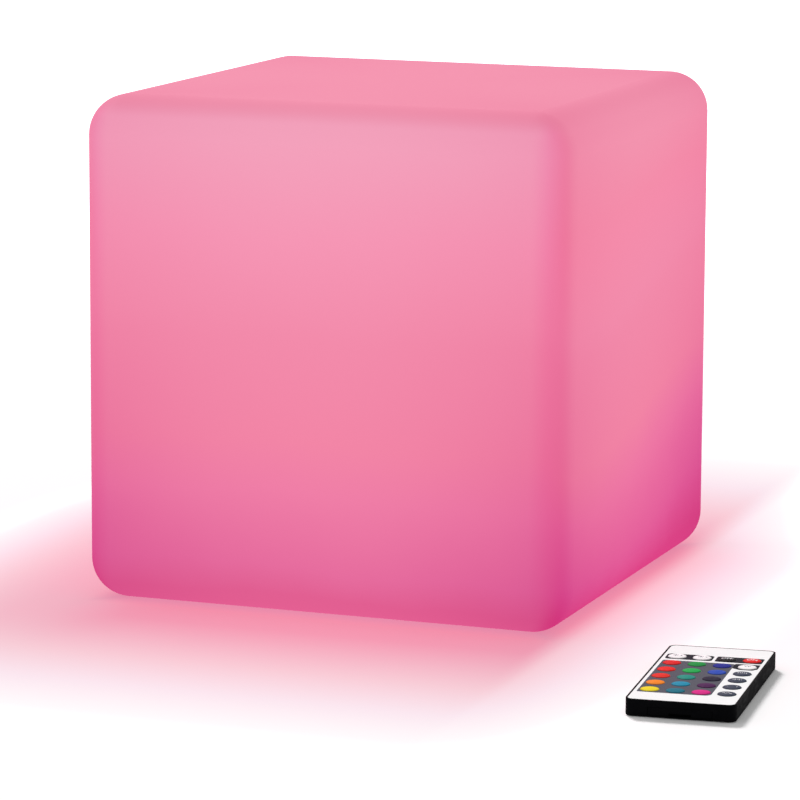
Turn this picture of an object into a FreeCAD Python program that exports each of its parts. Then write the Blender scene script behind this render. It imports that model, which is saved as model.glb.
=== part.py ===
"""A 200 mm glowing cube light with its sealed light unit, and the flat remote that sets its colour.

Millimetres, +Z up. The origin is the middle of the cube's underside, on the floor. The cube's front is -Y.
"""

import FreeCAD
import Part
import math
import os
import Sketcher
from FreeCAD import Placement, Rotation, Vector
from types import SimpleNamespace

DIMENSIONS = {
    # cube shell: one hollow moulding with a stepped round seat in its underside
    "cube_side": 200.0,
    "edge_radius": 16.0,
    "shell_wall": 3.0,
    "recess_radius": 58.0,
    "seat_height": 6.0,
    "seat_thick": 3.0,
    "opening_radius": 46.0,
    "base_screw_circle": 52.0,
    "insert_boss_radius": 4.6,
    "insert_boss_top": 17.0,
    "insert_radius": 2.5,
    "insert_length": 8.0,
    # base cover: the round plate in the seat, dished so that the controls stay off the floor
    "flange_radius": 57.0,
    "flange_bottom": 1.5,
    "gasket_thick": 1.0,
    "dish_radius": 38.0,
    "panel_bottom": 5.5,
    "panel_top": 8.0,
    "spigot_radius": 45.4,
    "groove_bottom": 5.0,
    "base_screw_radius": 1.5,
    "base_screw_head": 3.0,
    "base_screw_length": 11.4,
    # light housing: the tub over the battery, carrying the light board and its lens
    "housing_radius": 42.0,
    "housing_wall": 2.0,
    "housing_top": 40.0,
    "housing_post_circle": 35.0,
    "housing_post_radius": 3.0,
    "housing_post_top": 20.0,
    "lens_screw_circle": 39.4,
    "board_screw_circle": 25.0,
    "board_post_radius": 2.6,
    "cable_hole_radius": 4.0,
    "light_board_radius": 34.5,
    "board_thick": 1.6,
    "chip_circle": 20.0,
    "chip_side": 5.0,
    "chip_height": 1.4,
    "lens_flange": 2.0,
    "lens_foot_radius": 36.8,
    "lens_rise": 16.0,
    "lens_wall": 1.8,
    "control_board_radius": 30.0,
    "control_board_bottom": 30.0,
    # battery, one round cell lying across the base
    "cell_radius": 9.2,
    "cell_length": 65.0,
    "cell_middle_y": 13.0,
    "cell_height": 18.0,
    # charging jack and power button, both panel-mounted in twelve-millimetre holes
    "jack_x": -15.0,
    "button_x": 15.0,
    "controls_y": -17.0,
    "thread_radius": 6.0,
    "bezel_radius": 7.0,
    "bezel_bottom": 3.7,
    "bezel_top": 4.7,
    "nut_across": 15.0,
    "nut_thick": 2.0,
    "jack_bore": 2.85,
    "jack_pin_radius": 1.0,
    "jack_pin_tip": 5.2,
    "jack_bore_end": 13.2,
    "port_cover_bottom": 1.9,
    "port_cover_top": 3.5,
    "port_hinge_x": -24.6,
    "port_hinge_z": 3.5,
    "port_pin_radius": 0.5,
    "button_radius": 3.8,
    "button_bottom": 2.3,
    "button_travel": 1.2,
    "switch_bore": 4.0,
    "switch_ledge": 6.9,
    "switch_bore_end": 13.0,
    "indicator_y": -14.0,
    "indicator_radius": 1.5,
    "lead_radius": 0.8,
    # the flat remote and where it lies
    "remote_x": 172.0,
    "remote_y": -152.5,
    "remote_turn": 6.0,
    "remote_length": 86.0,
    "remote_width": 40.0,
    "remote_height": 6.3,
    "remote_corner": 3.0,
    "remote_floor": 0.8,
    "remote_rim": 0.7,
    "remote_ledge": 2.2,
    "remote_ledge_top": 3.9,
    "face_bottom": 5.55,
    "remote_board_thick": 0.6,
    "dome_height": 0.25,
    "dome_radius": 2.4,
    "key_radius": 3.4,
    "key_collar": 4.1,
    "key_bottom": 5.2,
    "key_edge_height": 6.55,
    "key_crown_height": 6.85,
    "key_pitch_x": 9.3,
    "key_pitch_y": 10.4,
    "key_row_y": -27.2,
    "tray_width": 23.0,
    "tray_length": 24.4,
    "tray_bottom": 0.95,
    "tray_top": 3.75,
    "coin_radius": 10.0,
    "coin_thick": 2.5,
    "emitter_radius": 1.5,
    "emitter_height": 2.4,
    # running gaps
    "gap": 0.1,
    "wide_gap": 0.2,
}

BASE_SCREWS = 6
HOUSING_SCREWS = 4
LENS_SCREWS = 4
BOARD_SCREWS = 3
LIGHT_CHIPS = 12

# Remote keys, nearest row first, left to right.
KEY_ROWS = (
    ("yellow", "deep_cyan", "magenta", "smooth"),
    ("orange", "cyan", "purple", "fade"),
    ("vermilion", "teal", "indigo", "strobe"),
    ("scarlet", "light_green", "light_blue", "flash"),
    ("red", "green", "blue", "white"),
    ("brighter", "dimmer", "off", "on"),
)

LITERAL = "Sizes."
doc = FreeCAD.newDocument("led_cube_light")
sheet = doc.addObject("Spreadsheet::Sheet", "Sizes")
pieces = {}


# ---- sizes that know both their number and their spreadsheet expression ----


class Size:
    """A number together with the expression that gives it, so that sums of sizes stay bound to the sheet."""

    def __init__(self, value, text):
        self.value, self.text = value, text

    def __add__(self, other):
        other = size(other)
        return Size(self.value + other.value, f"({self.text} + {other.text})")

    def __radd__(self, other):
        return size(other) + self

    def __sub__(self, other):
        other = size(other)
        return Size(self.value - other.value, f"({self.text} - {other.text})")

    def __rsub__(self, other):
        return size(other) - self

    def __mul__(self, other):
        other = size(other)
        return Size(self.value * other.value, f"({self.text} * {other.text})")

    __rmul__ = __mul__

    def __truediv__(self, other):
        other = size(other)
        return Size(self.value / other.value, f"({self.text} / {other.text})")

    def __neg__(self):
        return Size(-self.value, f"(0 - {self.text})")


def size(number):
    """A plain number as a Size. A Size stays as it is."""
    return number if isinstance(number, Size) else Size(float(number), repr(float(number)))


def cosine(angle):
    return Size(math.cos(math.radians(angle.value)), f"cos({angle.text} * 1 deg)")


def sine(angle):
    return Size(math.sin(math.radians(angle.value)), f"sin({angle.text} * 1 deg)")


def fill_sheet():
    """Writes every driving dimension to the sheet and returns them by name."""
    for row, (name, value) in enumerate(DIMENSIONS.items(), 1):
        sheet.set(f"A{row}", name)
        sheet.set(f"B{row}", str(value))
        sheet.setAlias(f"B{row}", name)
    doc.recompute()
    return SimpleNamespace(**{n: Size(v, LITERAL + n) for n, v in DIMENSIONS.items()})


def bind(item, prop, value):
    """Sets a property to a size, bound to the sheet where the size comes from it."""
    value = size(value)
    setattr(item, prop, value.value)
    if LITERAL in value.text:
        item.setExpression(prop, value.text)


def place(item, x=0, y=0, z=0, turn=0, about=Vector(0, 0, 1)):
    """Moves an object to a point, turned about an axis, with the point bound to the sheet."""
    x, y, z, turn = size(x), size(y), size(z), size(turn)
    item.Placement = Placement(Vector(x.value, y.value, z.value), Rotation(about, turn.value))
    for axis, value in (("x", x), ("y", y), ("z", z)):
        if LITERAL in value.text:
            item.setExpression(f"Placement.Base.{axis}", value.text)
    if LITERAL in turn.text:
        item.setExpression("Placement.Rotation.Angle", f"{turn.text} * 1 deg")
    return item


def keep(name, item):
    """Names a finished piece, so that it is written to its own file."""
    item.Label = name
    pieces[name] = item
    return item


# ---- sketches ----


def new_body(name):
    return doc.addObject("PartDesign::Body", name + "_body")


def new_sketch(body, role="XY_Plane", height=0):
    """A sketch on one of the body's own planes, lifted along the plane's normal."""
    sketch = body.newObject("Sketcher::SketchObject", body.Name + "_sketch")
    base = next(f for f in body.Origin.OriginFeatures if f.Role == role)
    sketch.AttachmentSupport = [(base, "")]
    sketch.MapMode = "FlatFace"
    height = size(height)
    sketch.AttachmentOffset = Placement(Vector(0, 0, height.value), Rotation())
    if LITERAL in height.text:
        sketch.setExpression("AttachmentOffset.Base.z", height.text)
    return sketch


def hold(sketch, geometry, vertex, x, y):
    """Fixes a sketch point at x, y from the sketch's origin."""
    for kind, value, axis in (("DistanceX", size(x), -2), ("DistanceY", size(y), -1)):
        if value.value == 0 and LITERAL not in value.text:
            sketch.addConstraint(Sketcher.Constraint("PointOnObject", geometry, vertex, axis))
            continue
        rule = Sketcher.Constraint(kind, -1, 1, geometry, vertex, value.value)
        number = sketch.addConstraint(rule)
        if LITERAL in value.text:
            sketch.setExpression(f"Constraints[{number}]", value.text)


def add_circle(sketch, x, y, radius):
    x, y, radius = size(x), size(y), size(radius)
    circle = sketch.addGeometry(Part.Circle(Vector(x.value, y.value, 0), Vector(0, 0, 1), radius.value))
    number = sketch.addConstraint(Sketcher.Constraint("Radius", circle, radius.value))
    if LITERAL in radius.text:
        sketch.setExpression(f"Constraints[{number}]", radius.text)
    hold(sketch, circle, 3, x, y)


def add_outline(sketch, points):
    """A closed outline through (x, y) points. A third item, "dome", makes the edge that arrives there an arc
    with its centre on the sketch's upright axis."""
    spots = [(size(p[0]), size(p[1])) for p in points]
    ends = []
    for number, (x2, y2) in enumerate(spots):
        x1, y1 = spots[number - 1]
        start, stop = Vector(x1.value, y1.value, 0), Vector(x2.value, y2.value, 0)
        if len(points[number]) == 2:
            edge = sketch.addGeometry(Part.LineSegment(start, stop))
            ends.append((edge, 1, 2))
            continue
        middle = (stop.x**2 + stop.y**2 - start.x**2 - start.y**2) / (2 * (stop.y - start.y))
        radius = math.hypot(start.x, start.y - middle)
        begins = math.atan2(start.y - middle, start.x)
        finishes = math.atan2(stop.y - middle, stop.x)
        whole = Part.Circle(Vector(0, middle, 0), Vector(0, 0, 1), radius)
        arc = Part.ArcOfCircle(whole, min(begins, finishes), max(begins, finishes))
        edge = sketch.addGeometry(arc)
        sketch.addConstraint(Sketcher.Constraint("PointOnObject", edge, 3, -2))
        ends.append((edge, 1, 2) if begins < finishes else (edge, 2, 1))
    for number, (edge, _, last) in enumerate(ends):
        following, first, _ = ends[(number + 1) % len(ends)]
        sketch.addConstraint(Sketcher.Constraint("Coincident", edge, last, following, first))
        hold(sketch, edge, last, *spots[number])


def rectangle(x0, x1, y0, y1):
    return [(x0, y0), (x1, y0), (x1, y1), (x0, y1)]


# ---- features ----


def pad(body, sketch, length, down=False):
    feature = body.newObject("PartDesign::Pad", body.Name + "_pad")
    feature.Profile = sketch
    feature.Reversed = down
    bind(feature, "Length", length)
    return feature


def pocket(body, sketch, length, up=False):
    feature = body.newObject("PartDesign::Pocket", body.Name + "_pocket")
    feature.Profile = sketch
    feature.Reversed = up
    bind(feature, "Length", length)
    return feature


def turned(body, points):
    """A solid of revolution about +Z through the body's origin, from a half outline of (radius, height) points."""
    sketch = new_sketch(body, "XZ_Plane")
    add_outline(sketch, points)
    feature = body.newObject("PartDesign::Revolution", body.Name + "_turned")
    feature.Profile = sketch
    feature.ReferenceAxis = (sketch, ["V_Axis"])
    feature.Angle = 360.0
    return feature


def disc_pad(body, x, y, radius, bottom, top):
    """A round boss from one height to another."""
    bottom, top = size(bottom), size(top)
    sketch = new_sketch(body, height=bottom)
    add_circle(sketch, x, y, radius)
    return pad(body, sketch, top - bottom)


def disc_pocket(body, x, y, radius, bottom, top):
    """A round hole from one height to another."""
    bottom, top = size(bottom), size(top)
    sketch = new_sketch(body, height=bottom)
    add_circle(sketch, x, y, radius)
    return pocket(body, sketch, top - bottom, up=True)


def block_pad(body, x0, x1, y0, y1, bottom, top):
    bottom, top = size(bottom), size(top)
    sketch = new_sketch(body, height=bottom)
    add_outline(sketch, rectangle(x0, x1, y0, y1))
    return pad(body, sketch, top - bottom)


def block_pocket(body, x0, x1, y0, y1, bottom, top):
    bottom, top = size(bottom), size(top)
    sketch = new_sketch(body, height=bottom)
    add_outline(sketch, rectangle(x0, x1, y0, y1))
    return pocket(body, sketch, top - bottom, up=True)


def around(body, features, count, first_sketch):
    """Repeats features evenly about +Z and makes the result the body's tip."""
    pattern = body.newObject("PartDesign::PolarPattern", body.Name + "_pattern")
    pattern.Originals = features
    pattern.Axis = (first_sketch, ["N_Axis"])
    pattern.Angle = 360.0
    pattern.Occurrences = count
    body.Tip = pattern
    return pattern


def soften(body, feature, edges, radius):
    """Rounds the named edges of a feature."""
    fillet = body.newObject("PartDesign::Fillet", body.Name + "_fillet")
    fillet.Base = (feature, edges)
    bind(fillet, "Radius", radius)
    body.Tip = fillet
    return fillet


def edges_where(feature, test):
    """Names of a feature's edges whose middle and direction pass a test."""
    doc.recompute()
    names = []
    for number, edge in enumerate(feature.Shape.Edges, 1):
        middle = edge.valueAt((edge.FirstParameter + edge.LastParameter) / 2)
        way = edge.tangentAt(edge.FirstParameter)
        if test(middle, way):
            names.append(f"Edge{number}")
    return names


def upright(middle, way):
    return abs(way.z) > 0.99


# ---- plain solids and booleans ----


def cylinder(name, radius, bottom, top, x=0, y=0):
    item = doc.addObject("Part::Cylinder", name)
    bottom, top = size(bottom), size(top)
    bind(item, "Radius", radius)
    bind(item, "Height", top - bottom)
    return place(item, x, y, bottom)


def box(name, x0, x1, y0, y1, z0, z1):
    item = doc.addObject("Part::Box", name)
    for prop, low, high in (("Length", x0, x1), ("Width", y0, y1), ("Height", z0, z1)):
        bind(item, prop, size(high) - size(low))
    return place(item, x0, y0, z0)


def joined(name, items):
    item = doc.addObject("Part::MultiFuse", name)
    item.Shapes = items
    return item


def cut(name, base, tool):
    item = doc.addObject("Part::Cut", name)
    item.Base, item.Tool = base, tool
    return item


def group(name, items):
    item = doc.addObject("Part::Compound", name)
    item.Links = items
    return item


def ring_points(circle, count, start=0):
    """Points evenly spaced on a circle, as pairs of sizes."""
    turns = [math.radians(start + 360 * n / count) for n in range(count)]
    return [(circle * round(math.cos(a), 9), circle * round(math.sin(a), 9)) for a in turns]


# ---- the cube ----


def rounded_block(name, side, radius, bottom):
    """A cube with all twelve edges rounded, standing on a height."""
    body = new_body(name)
    sketch = new_sketch(body)
    add_outline(sketch, rectangle(-side / 2, side / 2, -side / 2, side / 2))
    block = pad(body, sketch, side)
    soften(body, block, edges_where(block, lambda middle, way: True), radius)
    return place(body, 0, 0, bottom)


def make_shell(d):
    """The hollow moulding: a stepped seat round the opening, with six bosses for threaded inserts."""
    outside = rounded_block("shell_outside", d.cube_side, d.edge_radius, 0)
    inside = rounded_block(
        "shell_inside", d.cube_side - 2 * d.shell_wall, d.edge_radius - d.shell_wall, d.shell_wall
    )
    hollow = cut("shell_hollow", outside, inside)
    seat_top = d.seat_height + d.seat_thick
    seat = [cylinder("seat", d.recess_radius + d.shell_wall, 0, seat_top)]
    holes = [
        cylinder("recess", d.recess_radius, -1, d.seat_height),
        cylinder("opening", d.opening_radius, -1, seat_top + 1),
    ]
    for x, y in ring_points(d.base_screw_circle, BASE_SCREWS, 30):
        seat.append(cylinder("boss", d.insert_boss_radius, d.seat_height, d.insert_boss_top, x, y))
        hole_top = d.seat_height + d.insert_length + 1
        holes.append(cylinder("insert_hole", d.insert_radius, d.seat_height - 1, hole_top, x, y))
    keep("shell", cut("shell_cut", joined("shell_solid", [hollow] + seat), joined("shell_holes", holes)))


def make_shell_inserts(d):
    tubes = []
    for x, y in ring_points(d.base_screw_circle, BASE_SCREWS, 30):
        top = d.seat_height + d.insert_length
        tube = cylinder("insert", d.insert_radius, d.seat_height, top, x, y)
        bore = cylinder("insert_bore", d.base_screw_radius + 0.05, d.seat_height - 1, top + 1, x, y)
        tubes.append(cut("insert_cut", tube, bore))
    keep("shell_inserts", group("insert_group", tubes))


# ---- base cover and what closes it ----


def make_base_cover(d):
    """Dished plate with a spigot that locates in the shell and a groove that locates the light housing."""
    flange_top = d.seat_height - d.gasket_thick
    outer, inner = d.housing_radius, d.housing_radius - d.housing_wall
    body = new_body("base_cover")
    turned(
        body,
        [
            (0, d.panel_bottom),
            (d.dish_radius, d.panel_bottom),
            (d.dish_radius, d.flange_bottom),
            (d.flange_radius, d.flange_bottom),
            (d.flange_radius, flange_top),
            (d.spigot_radius, flange_top),
            (d.spigot_radius, d.panel_top),
            (outer + d.gap, d.panel_top),
            (outer + d.gap, d.groove_bottom),
            (inner - d.gap, d.groove_bottom),
            (inner - d.gap, d.panel_top),
            (0, d.panel_top),
        ],
    )
    for side in (-1, 1):  # saddles under the battery
        middle = 20.0 * side
        block_pad(
            body, middle - 2, middle + 2, d.cell_middle_y - 8, d.cell_middle_y + 8, d.panel_top, 13.5
        )
    trough = new_sketch(body, "YZ_Plane", -30)
    add_circle(trough, d.cell_middle_y, d.cell_height, d.cell_radius + d.gap)
    pocket(body, trough, 60, up=True)
    for sign in (-1, 1):  # feet for the battery strap
        disc_pad(body, 0, d.cell_middle_y + 14.5 * sign, 2.6, d.panel_top, 12)
        disc_pocket(body, 0, d.cell_middle_y + 14.5 * sign, 1.05, 9, 13)
    for sign in (-1, 1):  # lugs for the port cover's pin
        middle = d.controls_y + 7.0 * sign
        block_pad(
            body,
            d.port_hinge_x - 1.4,
            d.port_hinge_x + 1.4,
            middle - 1.2,
            middle + 1.2,
            d.flange_bottom + 0.4,
            d.panel_bottom + 0.5,
        )
    pin_hole = new_sketch(body, "XZ_Plane", -(d.controls_y - 10))
    add_circle(pin_hole, d.port_hinge_x, d.port_hinge_z, d.port_pin_radius + 0.03)
    pocket(body, pin_hole, 20)
    for x in (d.jack_x, d.button_x):
        disc_pocket(body, x, d.controls_y, d.thread_radius + 0.05, 0, 20)
    disc_pocket(body, 0, d.indicator_y, d.indicator_radius + 0.05, 0, 20)
    for x, y in ring_points(d.housing_post_circle, HOUSING_SCREWS):
        disc_pocket(body, x, y, 1.3, 0, 20)
    x, y = ring_points(d.base_screw_circle, BASE_SCREWS, 30)[0]
    hole = disc_pocket(body, x, y, d.base_screw_radius + 0.3, 0, 20)
    head = disc_pocket(body, x, y, d.base_screw_head + 0.4, 0, d.flange_bottom + 1.6)
    around(body, [hole, head], BASE_SCREWS, hole.Profile[0])
    keep("base_cover", body)


def make_base_gasket(d):
    low, high = d.seat_height - d.gasket_thick, d.seat_height
    ring = cylinder("gasket_ring", d.flange_radius - 0.4, low, high)
    holes = [cylinder("gasket_bore", d.opening_radius + 0.4, low - 1, high + 1)]
    for x, y in ring_points(d.base_screw_circle, BASE_SCREWS, 30):
        holes.append(cylinder("gasket_hole", d.base_screw_radius + 0.4, low - 1, high + 1, x, y))
    keep("base_gasket", cut("gasket_cut", ring, joined("gasket_holes", holes)))


def screw(name, x, y, head_end, length, head, shank, upward):
    """A cross-head screw on a vertical axis. head_end is the height of the head's outer face, and length runs
    from there to the tip, upward or downward."""
    sign = 1 if upward else -1
    head_height = head * 0.5
    under_head = head_end + head_height * sign
    tip = head_end + length * sign
    low_to_high = (head_end, under_head) if upward else (under_head, head_end)
    cap = cylinder(name + "_cap", head, *low_to_high, x, y)
    stem_span = (under_head, tip) if upward else (tip, under_head)
    stem = cylinder(name + "_stem", shank, *stem_span, x, y)
    deep = head_end + head_height * 0.6 * sign
    drive_span = (head_end - 1, deep) if upward else (deep, head_end + 1)
    arm, half = head * 0.6, head * 0.11
    drive = joined(
        name + "_drive",
        [
            box(name + "_slot", x - arm, x + arm, y - half, y + half, *drive_span),
            box(name + "_slot", x - half, x + half, y - arm, y + arm, *drive_span),
        ],
    )
    return cut(name + "_cut", joined(name + "_solid", [cap, stem]), drive)


def make_base_screws(d):
    screws = []
    for x, y in ring_points(d.base_screw_circle, BASE_SCREWS, 30):
        head_end = d.flange_bottom + 1.6 - d.base_screw_head * 0.5
        screws.append(
            screw(
                "base_screw", x, y, head_end, d.base_screw_length, d.base_screw_head, d.base_screw_radius, True
            )
        )
    keep("base_screws", group("base_screw_group", screws))


# ---- light housing, light board and lens ----


def make_light_housing(d):
    """Tub with its open end down: posts for the cover's screws, posts for the boards, a hole for the leads."""
    inner = d.housing_radius - d.housing_wall
    ceiling = d.housing_top - d.housing_wall
    body = new_body("light_housing")
    turned(
        body,
        [
            (inner, d.groove_bottom),
            (d.housing_radius, d.groove_bottom),
            (d.housing_radius, d.housing_top),
            (0, d.housing_top),
            (0, ceiling),
            (inner, ceiling),
        ],
    )
    post = disc_pad(
        body, d.housing_post_circle, 0, d.housing_post_radius, d.panel_top, d.housing_post_top
    )
    rib = block_pad(body, d.housing_post_circle + 1, inner + 1, -1, 1, d.panel_top + 1, d.housing_post_top)
    pilot = disc_pocket(body, d.housing_post_circle, 0, 1.0, 7, d.housing_post_top - 2)
    around(body, [post, rib, pilot], HOUSING_SCREWS, post.Profile[0])
    x, y = ring_points(d.lens_screw_circle, LENS_SCREWS, 45)[0]
    lens_post = disc_pad(body, x, y, 2.4, d.housing_top - 9, d.housing_top - 1)
    lens_pilot = disc_pocket(body, x, y, 0.85, d.housing_top - 7, d.housing_top + 1)
    around(body, [lens_post, lens_pilot], LENS_SCREWS, lens_post.Profile[0])
    board_top = d.control_board_bottom + d.board_thick
    x, y = ring_points(d.board_screw_circle, BOARD_SCREWS, 90)[0]
    board_post = disc_pad(body, x, y, d.board_post_radius, board_top, d.housing_top - 1)
    board_pilot = disc_pocket(body, x, y, 0.85, board_top - 1, d.housing_top + 1)
    around(body, [board_post, board_pilot], BOARD_SCREWS, board_post.Profile[0])
    disc_pocket(body, 0, -12, d.cable_hole_radius, ceiling - 1, d.housing_top + 1)
    keep("light_housing", body)


def make_housing_screws(d):
    screws = [
        screw("housing_screw", x, y, d.panel_bottom - 1.1, 12, 2.2, 1.0, True)
        for x, y in ring_points(d.housing_post_circle, HOUSING_SCREWS)
    ]
    keep("housing_screws", group("housing_screw_group", screws))


def make_led_board(d):
    top = d.housing_top + d.board_thick
    plate = cylinder("led_plate", d.light_board_radius, d.housing_top, top)
    holes = [
        cylinder("led_plate_hole", 1.3, d.housing_top - 1, top + 1, x, y)
        for x, y in ring_points(d.board_screw_circle, BOARD_SCREWS, 90)
    ]
    keep("led_board", cut("led_board_cut", plate, joined("led_board_holes", holes)))


def make_led_chips(d):
    """Twelve surface-mounted colour chips in a ring, each with its round window."""
    low = d.housing_top + d.board_thick
    body = new_body("led_chips")
    half = d.chip_side / 2
    chip = block_pad(
        body, d.chip_circle - half, d.chip_circle + half, -half, half, low, low + d.chip_height
    )
    window = disc_pocket(body, d.chip_circle, 0, half * 0.8, low + d.chip_height - 0.25, low + d.chip_height)
    around(body, [chip, window], LIGHT_CHIPS, chip.Profile[0])
    keep("led_chips", body)


def make_ir_receiver(d):
    """Upright infrared receiver at the middle of the light board, with its half-round lens."""
    low = d.housing_top + d.board_thick
    body = new_body("ir_receiver")
    block_pad(body, -3, 3, -1, 2.2, low, low + 7)
    disc_pad(body, 0, -1, 2.0, low + 1.5, low + 6)
    keep("ir_receiver", body)


def make_light_lens(d):
    """Shallow frosted dome over the light board, held down by its flange."""
    foot = d.housing_top
    flange_top = foot + d.lens_flange
    crown = flange_top + d.lens_rise
    inner_foot = d.lens_foot_radius - d.lens_wall
    body = new_body("light_lens")
    turned(
        body,
        [
            (inner_foot, foot),
            (d.housing_radius, foot),
            (d.housing_radius, flange_top),
            (d.lens_foot_radius, flange_top),
            (0, crown, "dome"),
            (0, crown - d.lens_wall),
            (inner_foot, flange_top, "dome"),
        ],
    )
    x, y = ring_points(d.lens_screw_circle, LENS_SCREWS, 45)[0]
    hole = disc_pocket(body, x, y, 1.05, foot - 1, flange_top + 1)
    around(body, [hole], LENS_SCREWS, hole.Profile[0])
    keep("light_lens", body)


def make_lens_screws(d):
    head_end = d.housing_top + d.lens_flange + 0.9
    screws = [
        screw("lens_screw", x, y, head_end, 7.5, 1.8, 0.8, False)
        for x, y in ring_points(d.lens_screw_circle, LENS_SCREWS, 45)
    ]
    keep("lens_screws", group("lens_screw_group", screws))


# ---- control board and battery ----


def make_control_board(d):
    low = d.control_board_bottom
    plate = cylinder("control_plate", d.control_board_radius, low, low + d.board_thick)
    holes = [
        cylinder("control_hole", 1.3, low - 1, low + 3, x, y)
        for x, y in ring_points(d.board_screw_circle, BOARD_SCREWS, 90)
    ]
    keep("control_board", cut("control_board_cut", plate, joined("control_holes", holes)))


def make_board_parts(d):
    """The larger parts soldered on top of the control board."""
    low = d.control_board_bottom + d.board_thick
    chips = [
        box("controller_chip", -5, 5, -2, 4, low, low + 1.6),
        box("charger_chip", 8, 13, -6, -1, low, low + 1.5),
        box("coil", -14, -8, -8, -2, low, low + 4),
        box("battery_socket", 10, 18, 8, 13, low, low + 5),
        box("light_socket", -9, 3, -16, -12, low, low + 3.2),
        cylinder("capacitor", 3, low, low + 5.5, -16, 6),
        cylinder("capacitor", 2.5, low, low + 5.2, 16, -11),
    ]
    keep("board_parts", group("board_part_group", chips))


def make_small_screws(d):
    """Screws of one size: three under the control board, three on the light board, two in the battery strap."""
    board_heads = d.control_board_bottom - 1.0
    light_heads = d.housing_top + d.board_thick + 1.0
    screws = []
    for x, y in ring_points(d.board_screw_circle, BOARD_SCREWS, 90):
        screws.append(screw("board_screw", x, y, board_heads, 6, 2.0, 0.8, True))
        screws.append(screw("light_board_screw", x, y, light_heads, 5.5, 2.0, 0.8, False))
    for sign in (-1, 1):
        y = d.cell_middle_y + 14.5 * sign
        screws.append(screw("strap_screw", 0, y, 14.6, 5, 2.0, 0.8, False))
    keep("small_screws", group("small_screw_group", screws))


def make_battery_cell(d):
    body = new_body("battery_cell")
    end = new_sketch(body, "YZ_Plane", -d.cell_length / 2)
    add_circle(end, d.cell_middle_y, d.cell_height, d.cell_radius)
    can = pad(body, end, d.cell_length)
    soften(body, can, edges_where(can, lambda middle, way: abs(way.x) < 0.1), 0.8)
    button = new_sketch(body, "YZ_Plane", d.cell_length / 2 - 0.5)
    add_circle(button, d.cell_middle_y, d.cell_height, 3)
    body.Tip = pad(body, button, 1.2)
    keep("battery_cell", body)


def make_battery_clamp(d):
    """Arched strap over the cell, screwed to the base cover on both sides."""
    body = new_body("battery_clamp")
    inner, outer = d.cell_radius + d.gap, d.cell_radius + 1.6
    arch = new_sketch(body, "YZ_Plane", -5)
    add_circle(arch, d.cell_middle_y, d.cell_height, outer)
    pad(body, arch, 10)
    for sign in (-1, 1):
        near, far = sorted((d.cell_middle_y.value + 9.4 * sign, d.cell_middle_y.value + 17.5 * sign))
        block_pad(body, -5, 5, near, far, 12, 13.6)
    trough = new_sketch(body, "YZ_Plane", -10)
    add_circle(trough, d.cell_middle_y, d.cell_height, inner)
    pocket(body, trough, 20, up=True)
    block_pocket(body, -10, 10, d.cell_middle_y - 9.3, d.cell_middle_y + 9.3, 0, d.cell_height - 4)
    for sign in (-1, 1):
        hole = disc_pocket(body, 0, d.cell_middle_y + 14.5 * sign, 1.05, 10, 15)
    body.Tip = hole
    keep("battery_clamp", body)


# ---- charging jack, power button, indicator ----


def make_charge_jack(d):
    """Barrel jack: a threaded body behind a flat bezel, with its centre contact pin in the bore."""
    body = new_body("charge_jack")
    turned(
        body,
        [
            (0, d.jack_pin_tip),
            (d.jack_pin_radius, d.jack_pin_tip),
            (d.jack_pin_radius, d.jack_bore_end),
            (d.jack_bore, d.jack_bore_end),
            (d.jack_bore, d.bezel_bottom),
            (d.bezel_radius, d.bezel_bottom),
            (d.bezel_radius, d.bezel_top),
            (d.thread_radius - 0.05, d.bezel_top),
            (d.thread_radius - 0.05, 15),
            (5, 15),
            (5, 18.5),
            (0, 18.5),
        ],
    )
    for x, y in ((-2.6, 0), (2.6, 0), (0, 2.6)):
        block_pad(body, x - 0.8, x + 0.8, y - 0.2, y + 0.2, 18, 20.5)
    keep("charge_jack", place(body, d.jack_x, d.controls_y))


def make_panel_nuts(d):
    """The two flat nuts behind the panel."""
    nuts = []
    corner = d.nut_across / (2 * math.cos(math.radians(30)))
    for x in (d.jack_x, d.button_x):
        body = new_body("panel_nut")
        sketch = new_sketch(body, height=d.panel_top)
        add_outline(sketch, ring_points(corner, 6))
        pad(body, sketch, d.nut_thick)
        body.Tip = disc_pocket(body, 0, 0, d.thread_radius, d.panel_top - 1, d.panel_top + 5)
        nuts.append(place(body, x, d.controls_y))
    keep("panel_nuts", group("panel_nut_group", nuts))


def make_panel_seals(d):
    """Rubber washers between the bezels and the panel."""
    seals = []
    for x in (d.jack_x, d.button_x):
        ring = cylinder("seal", d.bezel_radius, d.bezel_top, d.panel_bottom, x, d.controls_y)
        bore = cylinder("seal_bore", d.thread_radius, d.bezel_top - 1, d.panel_bottom + 1, x, d.controls_y)
        seals.append(cut("seal_cut", ring, bore))
    keep("panel_seals", group("panel_seal_group", seals))


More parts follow.
